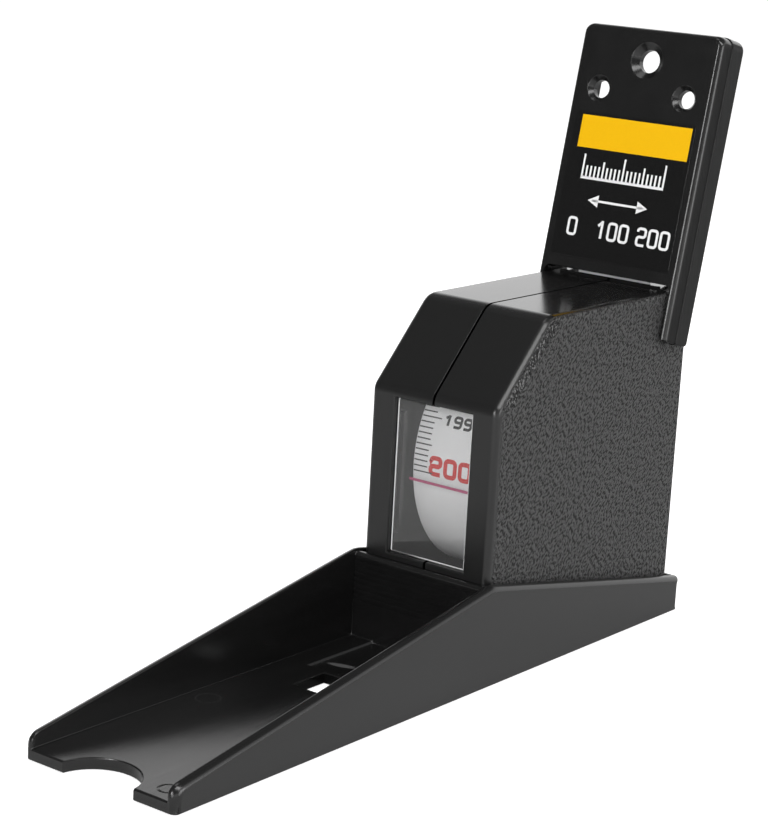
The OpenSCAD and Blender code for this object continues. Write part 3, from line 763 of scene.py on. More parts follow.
# %% Shell parts
def window_edge(skin, side):
    """Edge of the window: a quarter round from the front face, moved out by b (1 - sin t) at a
    depth of b (1 - cos t), then straight in to the back of the wall."""
    rows = []
    for depth, out in edge_round(WINDOW_BREAK, 4) + [(WALL, 0.0)]:
        half = np.minimum(base_x, window_half + out)
        half = np.concatenate([half, half[-1:]])
        y = CASE_FRONT + np.maximum(depth, SEAM_BREAK * (half == SEAM))
        low = np.column_stack([side * half, y, [window_z[0] - out] * 5 + [window_z[0]]])
        high = np.column_stack([side * half, y, [window_z[1] + out] * 5 + [window_z[1]]])
        rows.append(np.concatenate([low, high[::-1]]))
    rows = np.stack(rows)
    skin.grid(rows)
    for column, index in ((0, OUTLINE_N - 1), (-1, OUTLINE_N - 4)):
        inner = along_x(case_outline(WALL)[[index]], side * SEAM)
        skin.add(np.concatenate([rows[:, column], inner]), [list(range(len(rows) + 1))])


def slot_walls(skin, side):
    """Walls of the tape's slot, straight down through the top."""
    x = base_x[:4]
    rows = []
    for drop in (0.0, WALL):
        z = CASE_TOP - np.maximum(drop, SEAM_BREAK * (x == SEAM))
        front = np.column_stack([side * x, np.full(4, slot_y[0]), z])
        back = np.column_stack([side * x, np.full(4, slot_y[1]), z])
        rows.append(np.concatenate([front, back[::-1]]))
    skin.grid(np.stack(rows))


def inner_posts(skin, side):
    """Bosses, hub, screw posts and lens ribs inside the shell, and the low lip before the slot."""
    low, high = SEAM, CASE_HALF - WALL + 0.1

    def place(points, x):
        return along_x(points, side * x)

    for at in bosses:
        skin.tube(place, at, BOSS_R, BOSS_BORE, low, high)
    skin.tube(place, reel[1:], HUB_R, HUB_BORE, HUB_X, high)
    foot, top = CASE_FLOOR + WALL - 0.1, CASE_FLOOR + POST_TOP
    for y in POST_Y:
        skin.tube(along_z, (side * POST_X, y), POST_R, POST_BORE, foot, top)
    rib = rectangle(lens_high[1] + 0.05, window_z[0] + 3, lens_high[1] + 1.0, window_z[1] - 3)
    skin.prism([place(rib, window_half - 0.1), place(rib, high)])
    lip = rounded(rectangle(slot_y[0] - 0.9, CASE_TOP - 0.3, slot_y[0] - 0.05, CASE_TOP + LIP_H), 0.2, 3)
    skin.prism([place(lip, low), place(lip, slot_half + 2.4)])


def kept(rows, slot_rows, window_rows, beside=1):
    """Faces of a lofted outline: all but the slot's and the window's in its first rows. beside
    counts the faces that are left out on each side of the window."""
    keep = np.ones((rows, OUTLINE_N), bool)
    keep[:slot_rows, SLOT_FACE] = False
    keep[:window_rows, WINDOW_FACE - beside:WINDOW_FACE + 1 + beside] = False
    return keep


def shell(side, name, node, wells=()):
    """One half of the housing: outer loft, side face, wells, inner loft and the rim at the seam."""
    skin = Skin()
    rounding = [(CASE_HALF - depth, draw) for depth, draw in edge_round(EDGE_R)[::-1]]
    x = np.concatenate([base_x, [at for at, _ in rounding]])
    d = np.concatenate([[SEAM_BREAK, 0, 0, 0, 0], [draw for _, draw in rounding]])
    outer = np.stack([along_x(case_outline(i, BACK_SHARE), side * at) for at, i in zip(x, d)])
    skin.grid(outer, kept(len(x) - 1, 3, 4), around=True)
    holes = [ring(well, WELL_R) for well in wells]
    skin.flat(lambda p: along_x(p, side * CASE_HALF), case_outline(EDGE_R, BACK_SHARE), holes)
    seat = side * (CASE_HALF - WELL_D)
    for hole in holes:
        skin.grid(np.stack([along_x(hole, side * CASE_HALF), along_x(hole, seat)]), around=True)
        skin.flat(lambda p: along_x(p, seat), hole)
    inner_x = np.append(base_x, CASE_HALF - WALL)
    inner = np.stack([along_x(case_outline(WALL), side * at) for at in inner_x])
    skin.grid(inner, kept(len(inner_x) - 1, 3, 2, 0), around=True)
    skin.flat(lambda p: along_x(p, side * (CASE_HALF - WALL)), case_outline(WALL))
    skin.grid(np.stack([outer[0], inner[0]]), kept(1, 1, 1), around=True)
    window_edge(skin, side)
    slot_walls(skin, side)
    inner_posts(skin, side)
    return skin.mesh(name, "head", [case_plastic], [node], "case_plastic")


shell(1, "case_right", "shell_right")
shell(-1, "case_left", "shell_left", [*bosses, tuple(reel[1:])])

# %% [markdown]
# ## Head tray
# The tray is one moulding. Its cross-section, with a rounded rim and a small fillet at the floor,
# is carried along a path from the wall side to the tip. The path also climbs over the cross wall,
# whose front has fine grooves. Each point is then moved along the tray so that the ends follow
# the rounded corners and the thumb notch.

# %% Tray sizes
TRAY_HALF, TRAY_L, PEAK_H = tray_high[0] + SWELL, -tray_low[1], tray_high[2]
TRAY_WALL, TRAY_FLOOR = 1.6, CASE_FLOOR
REAR_H, TIP_H = 6.1, 4.0
CROSS_BACK, CROSS_FRONT = CASE_FRONT - 0.1, CASE_FRONT - 1.4
CORNER_R, NOSE_R = 1.2, 1.85
NOTCH_R, NOTCH_Y = 7.6, -TRAY_L + 6.5 - 7.6
RIM_R, RIM_BREAK, RIM_LIFT, FOOT_R, BASE_R = 1.3, 0.25, 0.35, 0.2, 0.2
END_R = 0.35
SINK_HALF, SINK_T, SINK_END = 9.5, 0.4, CROSS_FRONT - 17.7
HATCH_HALF, HATCH_BREAK = 5.0, 0.2
HATCH_Y = (SINK_END - 0.9 - 8.3, SINK_END - 0.9)
REAR_BEND, TIP_BEND = -3.0, -130.0
PEAK_SOFT = 0.15
# Grooves of the cross wall, and the patch of the underside with the counterbores
PEAK_R, GROOVES, GROOVE_STEP, GROOVE_D = 0.7, 8, 1.05, 0.2
UNDER_HALF, UNDER_Y = 12.01, (-55.1, -7.9)
SCREW_WELL_R, SCREW_WELL_D = 2.4, 1.05
HAIR = 1e-6


def rim_height(y):
    """Height of the side walls: the lower of the two slopes, with the corner between them eased by
    the square root of their difference squared plus a small constant. At the tip it comes down in
    a quarter circle: NOSE_R less the height of the circle over the distance left."""
    rear = REAR_H + (PEAK_H - REAR_H) * y / CROSS_BACK
    tip = TIP_H + (PEAK_H - TIP_H) * (y + TRAY_L) / (TRAY_L + CROSS_FRONT)
    left = np.clip(NOSE_R - (y + TRAY_L), 0, NOSE_R)
    nose = NOSE_R - np.sqrt(NOSE_R ** 2 - left ** 2)
    return (rear + tip) / 2 - np.sqrt(((rear - tip) / 2) ** 2 + PEAK_SOFT ** 2) + RIM_LIFT - nose


def plan_y(y, x):
    """Moves y so that the ends of the tray follow its plan: a quarter round of CORNER_R in each
    corner, and the circle of the thumb notch at the tip."""
    reach = np.clip(np.abs(x) - (TRAY_HALF - CORNER_R), 0, CORNER_R)
    back = CORNER_R - np.sqrt(CORNER_R ** 2 - reach ** 2)
    notch = NOTCH_Y + np.sqrt(np.maximum(NOTCH_R ** 2 - x ** 2, 0))
    front = np.maximum(-TRAY_L + back, np.where(np.abs(x) < NOTCH_R, notch, -TRAY_L))
    rear_share = np.clip((y - REAR_BEND) / -REAR_BEND, 0, 1)
    tip_share = np.clip((TIP_BEND - y) / (TRAY_L + TIP_BEND), 0, 1)
    return y - rear_share * back + tip_share * (front + TRAY_L)


print("tray length", round(TRAY_L, 1), "width", round(2 * TRAY_HALF, 1))


# %% Tray section and path
def tray_columns():
    """Columns of half the section, from the outer side to the middle: x, height over the rim or
    over the floor, whether it belongs to the rim or to the inner side, and how it moves sideways
    in an end round, where both sides of a wall come closer together."""
    quarter = np.radians(np.linspace(0, 90, 7))
    outer = TRAY_HALF - RIM_R + RIM_R * np.cos(quarter), RIM_R * (np.sin(quarter) - 1)
    turn = np.radians(np.linspace(90, 180, 4))
    inner = TRAY_HALF - TRAY_WALL + RIM_BREAK * (1 + np.cos(turn)), RIM_BREAK * (np.sin(turn) - 1)
    down = np.radians(np.linspace(0, -90, 5))
    foot = TRAY_HALF - TRAY_WALL - FOOT_R * (1 - np.cos(down)), FOOT_R * (1 + np.sin(down))
    sink = SINK_HALF + np.array([0.12, 0.05, -0.05, -0.12])
    widest = math.asin(math.sqrt(1 - ((NOTCH_Y + TRAY_L) / NOTCH_R) ** 2))
    notch = NOTCH_R * np.sin(np.linspace(widest, 0.0, 15))
    hatch = HATCH_HALF + HATCH_BREAK
    floor = np.sort(np.concatenate([[12.0, 10.5], sink, [8.3, hatch], notch]))[::-1]
    x = np.concatenate([outer[0], inner[0], foot[0], floor])
    dz = np.concatenate([outer[1], inner[1], foot[1], np.zeros(len(floor))])
    rim = np.arange(len(x)) < len(outer[0]) + len(inner[0])
    walls = len(outer[0]) + len(inner[0]) + len(foot[0])
    inward = np.arange(len(x)) >= len(outer[0])
    out = np.minimum(1 - 2 * (x - TRAY_HALF + TRAY_WALL) / TRAY_WALL, 1) * (np.arange(len(x)) < walls)
    return x, dz, rim, inward, out


def on_floor(places, sunk=0.0):
    """Stations of the path on the tray's floor, at some depth of the sunk panel."""
    return [(y, TRAY_FLOOR, 0, sunk) for y in places]


def tray_path():
    """Stations from the rear to the tip: nominal y, inner height (above the rim means solid),
    shrink of the end round and depth of the sunk panel."""
    full = PEAK_H + 1
    turn = np.linspace(np.pi / 2, 0, 5)
    path = [(-END_R + END_R * math.sin(t), full, END_R * (1 - math.cos(t)), 0) for t in turn]
    path += [(-TRAY_WALL + 0.15, full, 0, 0), (-TRAY_WALL, rim_height(-TRAY_WALL) - 0.15, 0, 0)]
    path += on_floor((-TRAY_WALL, REAR_BEND, -8, -20, -35, -50, -55, -58, -60, -61, CROSS_BACK))
    crest = PEAK_H - 0.15
    path += [(CROSS_BACK, crest - 0.20, 0, 0), (CROSS_BACK - 0.15, crest, 0, 0)]
    path += [
        (CROSS_FRONT + PEAK_R * (1 - math.sin(t)), crest - PEAK_R * (1 - math.cos(t)), 0, 0)
        for t in np.linspace(0, np.pi / 2, 6)
    ]
    groove = CROSS_FRONT + GROOVE_D
    for i in range(1, GROOVES + 1):
        z = PEAK_H - 0.8 - i * GROOVE_STEP
        path += [(CROSS_FRONT, z + 0.60, 0, 0), (groove, z + 0.50, 0, 0)]
        path += [(groove, z + 0.08, 0, 0), (CROSS_FRONT, z, 0, 0)]
    path += [(CROSS_FRONT, TRAY_FLOOR + 0.3, 0, SINK_T)]
    path += [(CROSS_FRONT - 0.08, TRAY_FLOOR + 0.08, 0, SINK_T)]
    path += on_floor((CROSS_FRONT - 0.3, -64.2, -65.2, -66.6, -69, -73, -77), SINK_T)
    for shift, share in ((0.12, 1), (0.05, 0.85), (-0.05, 0.15), (-0.12, 0)):
        path += on_floor([SINK_END + shift], SINK_T * share)
    path += on_floor((HATCH_Y[1] + HATCH_BREAK, -84.5, -87.2, HATCH_Y[0] - HATCH_BREAK))
    path += on_floor((-98, -106, -114, -122, TIP_BEND, -132.5, -135, -137.2))
    path += on_floor((-138.5, -138.9, -139.3, -139.7, -140.0, -140.25, -140.45))
    tip = [(END_R * (1 - math.sin(t)), END_R * (1 - math.cos(t))) for t in turn[::-1]]
    path += [(-TRAY_L + ahead, TRAY_FLOOR, shrink, 0) for ahead, shrink in tip]
    return np.array(path)


path = tray_path()
columns = tray_columns()
print("tray grid:", len(path), "stations by", 2 * len(columns[0]), "columns")


# %% Tray surface
def tray_points():
    """Top and bottom points of the tray, each (stations, columns, 3), from the right to the left."""
    x0, dz, rim, inward, out = columns
    y, level, shrink, sunk = (path[:, i, None] for i in range(4))
    steady = np.minimum.accumulate(y, 0)
    top = rim_height(steady)
    x = x0 + shrink * out
    panel = np.clip((SINK_HALF + 0.1 - x0) / 0.2, 0, 1)
    inner = np.minimum(level + dz - sunk * panel ** 2 * (3 - 2 * panel), top)
    edge = np.where(inward, np.maximum(top + dz, np.minimum(level, top)), top + dz)
    z = np.where(rim, edge, inner) - shrink
    under = np.clip(x - (TRAY_HALF - BASE_R), 0, BASE_R)
    low = BASE_R - np.sqrt(BASE_R ** 2 - under ** 2) + shrink
    upper = np.stack([x, plan_y(np.where(rim, steady, y), x0), z], -1)
    lower = np.stack([x, plan_y(steady + 0 * x, x0), low], -1)
    flip = np.array([-1, 1, 1])
    return [np.concatenate([half, half[:, -2::-1] * flip], 1) for half in (upper, lower)]


def border(xs, ys):
    """Rectangle of (x, y) points through every x and y of a part of the grid."""
    loop = [(a, ys[0]) for a in xs[:-1]] + [(xs[-1], b) for b in ys[:-1]]
    return np.array(loop + [(a, ys[-1]) for a in xs[:0:-1]] + [(xs[0], b) for b in ys[:0:-1]])


def hatch_edge(skin, xs, ys):
    """Edge of the floor opening: rounded over at the top and the bottom, straight between."""
    top = [(TRAY_FLOOR - depth, out) for depth, out in edge_round(HATCH_BREAK, 3)]
    rows = []
    for z, out in top + [(TRAY_FLOOR - z, out) for z, out in top[::-1]]:
        x = np.clip(xs, -HATCH_HALF - out, HATCH_HALF + out)
        y = np.clip(ys, HATCH_Y[0] - out, HATCH_Y[1] + out)
        rows.append(along_z(border(x, y), z))
    skin.grid(np.stack(rows), around=True)


def screw_wells(skin, xs, ys):
    """Underside with the four counterbores of the housing's screws."""
    wells = [ring((x, y), SCREW_WELL_R, 32) for x in (-POST_X, POST_X) for y in POST_Y]
    skin.flat(lambda p: along_z(p, 0.0), border(xs, ys), wells)
    for well in wells:
        skin.grid(np.stack([along_z(well, 0.0), along_z(well, SCREW_WELL_D)]), around=True)
        skin.flat(lambda p: along_z(p, SCREW_WELL_D), well)


def make_tray():
    """Top and bottom as one closed loft. The faces over the floor opening and under the housing's
    screws are left out, and the opening's edge and the patch with the counterbores fill them."""
    skin = Skin()
    upper, lower = tray_points()
    last = upper.shape[1]
    loop = np.concatenate([upper, lower[:, ::-1]], 1)
    keep = np.ones((loop.shape[0] - 1, loop.shape[1]), bool)
    x, y = upper[0, :, 0], path[:, 0]
    reach = HATCH_HALF + HATCH_BREAK + HAIR
    open_x = (np.abs(x[:-1]) < reach) & (np.abs(x[1:]) < reach)
    in_hatch = (y < HATCH_Y[1] + HATCH_BREAK + HAIR) & (y > HATCH_Y[0] - HATCH_BREAK - HAIR)
    hole = (in_hatch[:-1] & in_hatch[1:])[:, None] & open_x
    keep[:, :last - 1] &= ~hole
    keep[:, last:2 * last - 1] &= ~hole[:, ::-1]
    in_wells = (y < UNDER_Y[1]) & (y > UNDER_Y[0])
    well_x = (np.abs(x[:-1]) < UNDER_HALF) & (np.abs(x[1:]) < UNDER_HALF)
    keep[:, last:2 * last - 1] &= ~((in_wells[:-1] & in_wells[1:])[:, None] & well_x)[:, ::-1]
    skin.grid(loop, keep, around=True)
    for end in (0, -1):
        skin.grid(np.stack([upper[end], lower[end]]))
    hatch_edge(skin, x[np.abs(x) < reach][::-1], y[in_hatch][::-1])
    screw_wells(skin, x[np.abs(x) < UNDER_HALF], y[in_wells])
    return skin.mesh("tray", "head", [tray_plastic], ["head_tray"], "tray_plastic")


make_tray()

# %% [markdown]
# ## Wall plate
# The plate is an open-backed box with a flat front, two ears that hang down beside the housing, a
# raised rear rim and three countersunk holes. Its outline is lofted into the depth: a quarter
# round at the front, straight sides, a small step out at the rear rim, and then back in along the
# walls of the hollow.

# %% Plate sizes
PLATE_HALF, PLATE_H, EAR_DROP = 15.35, 47.2, 9.7
# Depths: of the whole plate, of its panel and of the front up to the rim, which stands out
PLATE_D, PANEL_T, CAP_D, RIM_OUT = 7.7, 2.2, 3.6, 0.2
HOLLOW_HALF, HOLLOW_TOP, PANEL_LOW = 14.0, 46.0, 0.7
# The front edge is this deep, and it draws in by its own share at the sides, top and inner edge
PLATE_EDGE, SIDE_EDGE, TOP_EDGE, INNER_EDGE, INNER_R = 1.7, 1.0, 1.1, 0.12, 1.4
HOLE_STEPS = 64
plate_low, plate_high = box_of("wall_plate", plate_axes, mouth)
plate_datum = np.array([0, plate_low[1], plate_high[2] - RIM_OUT - PLATE_H])
holes = []
for name, out in (("top_screw_hole", 1.3), ("left_screw_hole", 0.8), ("right_screw_hole", 0.8)):
    at = (np.array(mounts[name]["pos_m"]) / MM - mouth) @ plate_axes.T - plate_datum
    holes.append(((at[0], at[2]), mounts[name]["dims"]["r_mm"], out))


def plate_box(node):
    """Lowest and highest corner of a node across, into and up the plate, from the plate's datum."""
    low, high = box_of(node, plate_axes, mouth)
    return low - plate_datum, high - plate_datum


def from_plate(points):
    """Turns points measured across, into and up the plate into points of the frame."""
    return (np.asarray(points) + plate_datum) @ plate_axes + mouth


def on_plate(points, depth):
    """Puts (across, up) points of the wall plate at a depth behind its front."""
    return from_plate(along_y(points, depth))


def across_plate(points, x):
    """Puts (depth, up) points of the wall plate at a place across it."""
    return from_plate(along_x(points, x))


print("plate holes at", [tuple(np.round(hole[0], 2)) for hole in holes])


# %% Plate surface
def front_outline(outer, inner):
    """Outline of the plate's front, an upside-down U, with its outer and inner edges moved in."""
    corners = [
        (-PLATE_HALF, -EAR_DROP), (-HOLLOW_HALF, -EAR_DROP),
        (-HOLLOW_HALF, PANEL_LOW), (HOLLOW_HALF, PANEL_LOW),
        (HOLLOW_HALF, -EAR_DROP), (PLATE_HALF, -EAR_DROP),
        (PLATE_HALF, PLATE_H), (-PLATE_HALF, PLATE_H),
    ]
    ear = min(outer, 0.45)
    side, top = (outer * (share / PLATE_EDGE if outer > 0 else 1) for share in (SIDE_EDGE, TOP_EDGE))
    moved = inset(corners, [ear, inner, inner, inner, ear, side, top, side])
    low_r, high_r = max(0.5 - outer, 0.06), 1.9 - top
    return rounded(moved, [low_r, 0.06, INNER_R, INNER_R, 0.06, low_r, high_r, high_r])


def back_outline(outer):
    """The same outline behind the panel, where its inner edge runs round the hollow."""
    loop = front_outline(outer, 0.0)
    top = rounded(rectangle(-HOLLOW_HALF, PANEL_LOW - 9, HOLLOW_HALF, HOLLOW_TOP), 1.0, 5)
    # Points 14 to 27 are the two inner corners. All but the first and the last move up.
    loop[15:21] = top[18:24][::-1]
    loop[21:27] = top[12:18][::-1]
    return loop


def make_plate():
    """The front with its rounded edge, the sides with the rear rim, the back face, and the holes
    with their sinks. The back of the panel joins the front's outline to the hollow's."""
    skin = Skin()
    edge = edge_round(PLATE_EDGE)
    front = [(depth, front_outline(draw, INNER_EDGE * draw / PLATE_EDGE)) for depth, draw in edge]
    front.append((PANEL_T, front_outline(0, 0)))
    skin.grid(np.stack([on_plate(outline, depth) for depth, outline in front]), around=True)
    rim = [(PANEL_T, 0), (CAP_D, 0), (CAP_D + 0.05, -RIM_OUT + 0.06), (CAP_D + 0.15, -RIM_OUT)]
    rim += [(PLATE_D - depth, draw - RIM_OUT) for depth, draw in edge_round(0.3, 3)[::-1]]
    skin.grid(np.stack([on_plate(back_outline(draw), depth) for depth, draw in rim]), around=True)
    skin.flat(lambda p: on_plate(p, PLATE_D), back_outline(0.3 - RIM_OUT))
    sinks = [ring(at, r + out + 0.08, HOLE_STEPS) for at, r, out in holes]
    bores = [ring(at, r, HOLE_STEPS) for at, r, out in holes]
    skin.flat(lambda p: on_plate(p, 0.0), front[0][1], sinks)
    loop, hollow = front_outline(0, 0), back_outline(0)
    skin.flat(lambda p: on_plate(p, PANEL_T), np.concatenate([loop[14:28], hollow[26:14:-1]]), bores)
    for at, r, out in holes:
        profile = [(0, r + out + 0.08), (0.03, r + out), (0.1, r + out - 0.08), (1.0, r), (PANEL_T, r)]
        rows = [on_plate(ring(at, radius, HOLE_STEPS), depth) for depth, radius in profile]
        skin.grid(np.stack(rows), around=True)
    plate_ribs(skin)
    return skin.mesh("plate", "plate", [plate_plastic], ["wall_plate"], "plate_plastic")


def plate_ribs(skin):
    """Clamp pad and the two foot ribs in the hollow, drawn as (depth, up) blocks across the plate."""
    pad = rectangle(PANEL_T - 0.1, 7.5, PANEL_T + 0.7, 15.0)
    skin.prism([across_plate(pad, -8), across_plate(pad, 8)])
    front, bend, back, low, high = PANEL_T - 0.1, 5.0, 7.2, PANEL_LOW, 6.0
    rear = low + 2.2 * math.tan(LEAN)
    foot = np.array([(front, low), (bend, low), (back, rear), (back, high), (front, high)])
    for side in (-10.6, 10.6):
        skin.prism([across_plate(foot, side - 0.6), across_plate(foot, side + 0.6)])


make_plate()

# %% [markdown]
# ## Label
# The label is a glossy film with a yellow stripe and white print. The film gets rounded corners
# and a fine edge that catches the light. The stripe is a layer of paint, so its solid stays and
# gets a slightly uneven coat. The print is drawn later, in strokes of ink like the tape's scale.


# %% Label finishes
def label_material():
    """Glossy black film with a faint unevenness and some dust."""
    paint = Paint("label_film")
    peel = paint.noise(paint.place, 1.4, 2.0)
    dust = paint.noise(paint.place, 9.0, 2.0, 0.7)
    rough = 0.06 + dust.step(0.55, 0.8) * 0.08
    colour = paint.mix(peel, grey(0.004), grey(0.007))
    return paint.principled(Base_Color=colour, Roughness=rough, Normal=paint.bump(peel, 0.006))


def print_material(name, thin, thick, rough):
    """Screen print: the coat is a little thinner here and there, and its surface slightly uneven."""
    paint = Paint(name)
    coat = paint.noise(paint.place, 2.5, 3.0, 0.6)
    return paint.principled(
        Base_Color=paint.mix(coat, thin, thick), Roughness=rough + coat * 0.1,
        Normal=paint.bump(coat, 0.01), Specular_IOR_Level=0.15)


finishes = {
    "label_film": label_material(),
    "yellow_print": print_material("yellow_print", (0.78, 0.43, 0.001, 1), (0.84, 0.47, 0.002, 1), 0.4),
    "white_print": print_material("white_print", grey(0.78), grey(0.88), 0.35),
    "line_print": print_material("line_print", (0.36, 0.04, 0.13, 1), (0.46, 0.06, 0.17, 1), 0.4),
}
print("print finishes:", list(finishes))


# %% Label film
def make_label():
    """A thin plate with rounded corners whose front edge is drawn in over 0.04 mm."""
    low, high = plate_box("plate_label")
    rows = []
    for depth, draw in ((high[1], 0), (low[1] + 0.04, 0), (low[1] + 0.01, 0.015), (low[1], 0.05)):
        outline = rectangle(low[0] + draw, low[2] + draw, high[0] - draw, high[2] - draw)
        rows.append(on_plate(rounded(outline, 0.6 - draw), depth))
    skin = Skin()
    skin.prism(rows)
    return skin.mesh("label", "plate", [finishes["label_film"]], ["plate_label"], "label_film")


make_label()

# %% [markdown]
# ## Window lens
# The lens is a clear moulded block that fills the window, with a flange behind the wall. Its front
# edges are broken, and these thin slopes are what shows of it. It is seen through, so its shader
# mixes a transparent and a glossy one by Fresnel, which needs no refraction to look right.


# %% Lens
def lens_material():
    """The front face mirrors a little. Its borders get a painted highlight, a pale dull colour where
    light leaves a clear block at the edges: the foot's more to the right than to the left."""
    paint = Paint("lens_clear")
    haze = paint.noise(paint.scaled(1.2, 1.0, 0.1), 1.0, 2.0)
    front = paint.y.step(lens_low[1] + 0.45, lens_low[1] + 0.3)
    fresnel = paint.node("ShaderNodeFresnel", {}, {"IOR": 1.49})
    sides = abs(paint.x).step(window_half - 0.58, window_half - 0.46)
    foot = paint.z.step(window_z[0] + 0.5, window_z[0] + 0.38) * (0.25 + paint.x.step(-5, 0) * 0.7)
    clear = paint.node("ShaderNodeBsdfTransparent", {}, {"Color": grey(0.98)})
    gloss = paint.node("ShaderNodeBsdfGlossy", {}, {"Color": grey(0.9), "Roughness": 0.03})
    face = paint.over(front * (fresnel * 0.9 + haze * 0.03), clear, gloss)
    # Painted highlight: pale diffuse at the sides and along the foot; a faint pale haze over the rest of the front
    # face
    border = front * (sides * 0.95).most(foot * 0.9).most(0.045 + haze * 0.03)
    return paint.finish(paint.over(border, face, paint.diffuse(grey(0.85))))


def make_lens():
    """A block with broken front edges in the window, and a wider flange behind the wall."""
    play, back_of_wall = 0.08, CASE_FRONT + WALL + 0.05
    skin = Skin()
    rows = []
    for depth, draw in ((0.0, 0.35), (0.12, 0.1), (0.35, 0.0)):
        half, low, high = window_half - play - draw, window_z[0] + play + draw, window_z[1] - play - draw
        rows.append(along_y(rounded(rectangle(-half, low, half, high), 0.4, 3), lens_low[1] + depth))
    rows.append(rows[-1] * (1, 0, 1) + np.array([0, back_of_wall, 0]))
    flange = rounded(rectangle(lens_low[0], lens_low[2], lens_high[0], lens_high[2]), 0.4, 3)
    rows += [along_y(flange, back_of_wall), along_y(flange, lens_high[1])]
    skin.prism(rows)
    return skin.mesh("lens", "head", [lens_clear], ["window_lens"], "lens_clear")


lens_clear = lens_material()
make_lens()

# %% [markdown]
# ## Wound tape
# The tape is white-painted steel with a printed scale. The coil's outer layer is one turn of a
# spiral, which steps down by the tape's thickness where the free end leaves it. The marks are
# thin raised bars of ink bent round the coil, one millimetre apart, with plain numbers for the
# centimetres.

# %% Tape sizes
TAPE_T, COIL_STEPS = 0.14, 180
WOUND_R = COIL_R - 2.16
# The top number, how far its mark lies from the coil's foremost line, and the print's slope
SCALE_TOP, TOP_MARK, MARK_SLOPE = 200, -0.82, 0.0144
# Width of a mark, thickness of the ink and width of the reading line
MARK_T, INK_T, LINE_T = 0.24, 0.02, 0.5
# Left end, step and foot of the rule on the label
RULE = -9.4, 0.9, 18.0
lead_low = points_of("tape_lead")
away = lead_low[lead_low[:, 2].argmin(), 1:] - reel[1:]
LEAVES_AT = math.atan2(away[1], away[0]) - math.acos(min(COIL_R / np.linalg.norm(away), 1))


def coil_radius(angle):
    """Outer radius at an angle round the reel: it falls by the tape's thickness in one turn."""
    return COIL_R - TAPE_T * ((LEAVES_AT - angle) % (2 * np.pi)) / (2 * np.pi)


print("tape leaves the coil at", round(math.degrees(LEAVES_AT), 1), "degrees")


# %% Tape finishes
TAPE_WHITES = (0.84, 0.85, 0.86, 1), (0.90, 0.90, 0.90, 1)


def tape_paint(paint, share, over):
    """The tape's white paint, a little cloudy, with a share of another colour over it."""
    film = paint.noise(paint.place, 0.8, 3.0, 0.6)
    return paint.principled(
        Base_Color=paint.mix(share, paint.mix(film, *TAPE_WHITES), over),
        Roughness=0.30 + film * 0.12, Normal=paint.bump(film, 0.01))


def tape_material():
    """White paint with small worn spots."""
    paint = Paint("tape_steel")
    wear = paint.noise(paint.place, 4.0, 3.0, 0.7).step(0.6, 0.85)
    return tape_paint(paint, wear * 0.25, grey(0.5))


def edge_material():
    """Side of the wound tape: the edges of its layers, as fine rings round the reel."""
    paint = Paint("tape_edges")
    reach = ((paint.y - reel[1]) ** 2 + (paint.z - reel[2]) ** 2).math("SQRT")
    layer = abs((reach / TAPE_T) % 1.0 - 0.5) * 2
    scuff = paint.noise(paint.place, 3.0, 2.0)
    colour = paint.mix(layer.step(0.1, 0.7), grey(0.10), grey(0.55))
    return paint.principled(
        Base_Color=colour, Metallic=layer * 0.6, Roughness=0.35 + scuff * 0.2,
        Normal=paint.bump(layer, 0.03))


finishes["tape_steel"] = tape_material()
finishes["ink_black"] = print_material("ink_black", grey(0.03), grey(0.015), 0.4)
finishes["ink_red"] = print_material("ink_red", (0.60, 0.02, 0.02, 1), (0.68, 0.035, 0.03, 1), 0.4)
tape_edges = edge_material()
print("tape finishes ready")


# %% Coil
def around_reel(x, r, angle):
    """Points at x, with y and z at a radius and an angle round the reel."""
    return np.stack([x + 0 * angle, reel[1] + r * np.cos(angle), reel[2] + r * np.sin(angle)], -1)


def make_coil():
    """The section of the wound tape, carried round the reel while its outer radius falls by the
    tape's thickness. Its outer face is painted, and the other three show the layers' edges."""
    turn = np.linspace(0, 2 * np.pi, COIL_STEPS + 1)
    angle = LEAVES_AT - turn
    outer = COIL_R - TAPE_T * turn / (2 * np.pi)
    section = (-TAPE_HALF, WOUND_R), (-TAPE_HALF, outer), (TAPE_HALF, outer), (TAPE_HALF, WOUND_R)
    loop = np.stack([around_reel(x, r, angle) for x, r in section], 1)
    loop = np.concatenate([loop, loop[:1]])
    skin = Skin()
    faces = np.zeros((len(loop) - 1, 4), bool)
    faces[:, 1] = True
    skin.grid(loop, faces, 0, around=True)
    skin.grid(loop, ~faces, 1, around=True)
    materials = [finishes["tape_steel"], tape_edges]
    return skin.mesh("tape_wound", "reel", materials, ["tape_coil"], "tape_steel")


def on_coil(x, arc, lift):
    """Points on the coil from x and the arc length above the foremost line. Arc length over radius
    gives the angle, and the print climbs slightly to the right."""
    angle = np.pi - (arc + MARK_SLOPE * x) / COIL_R
    return around_reel(x, coil_radius(angle) + lift, angle)


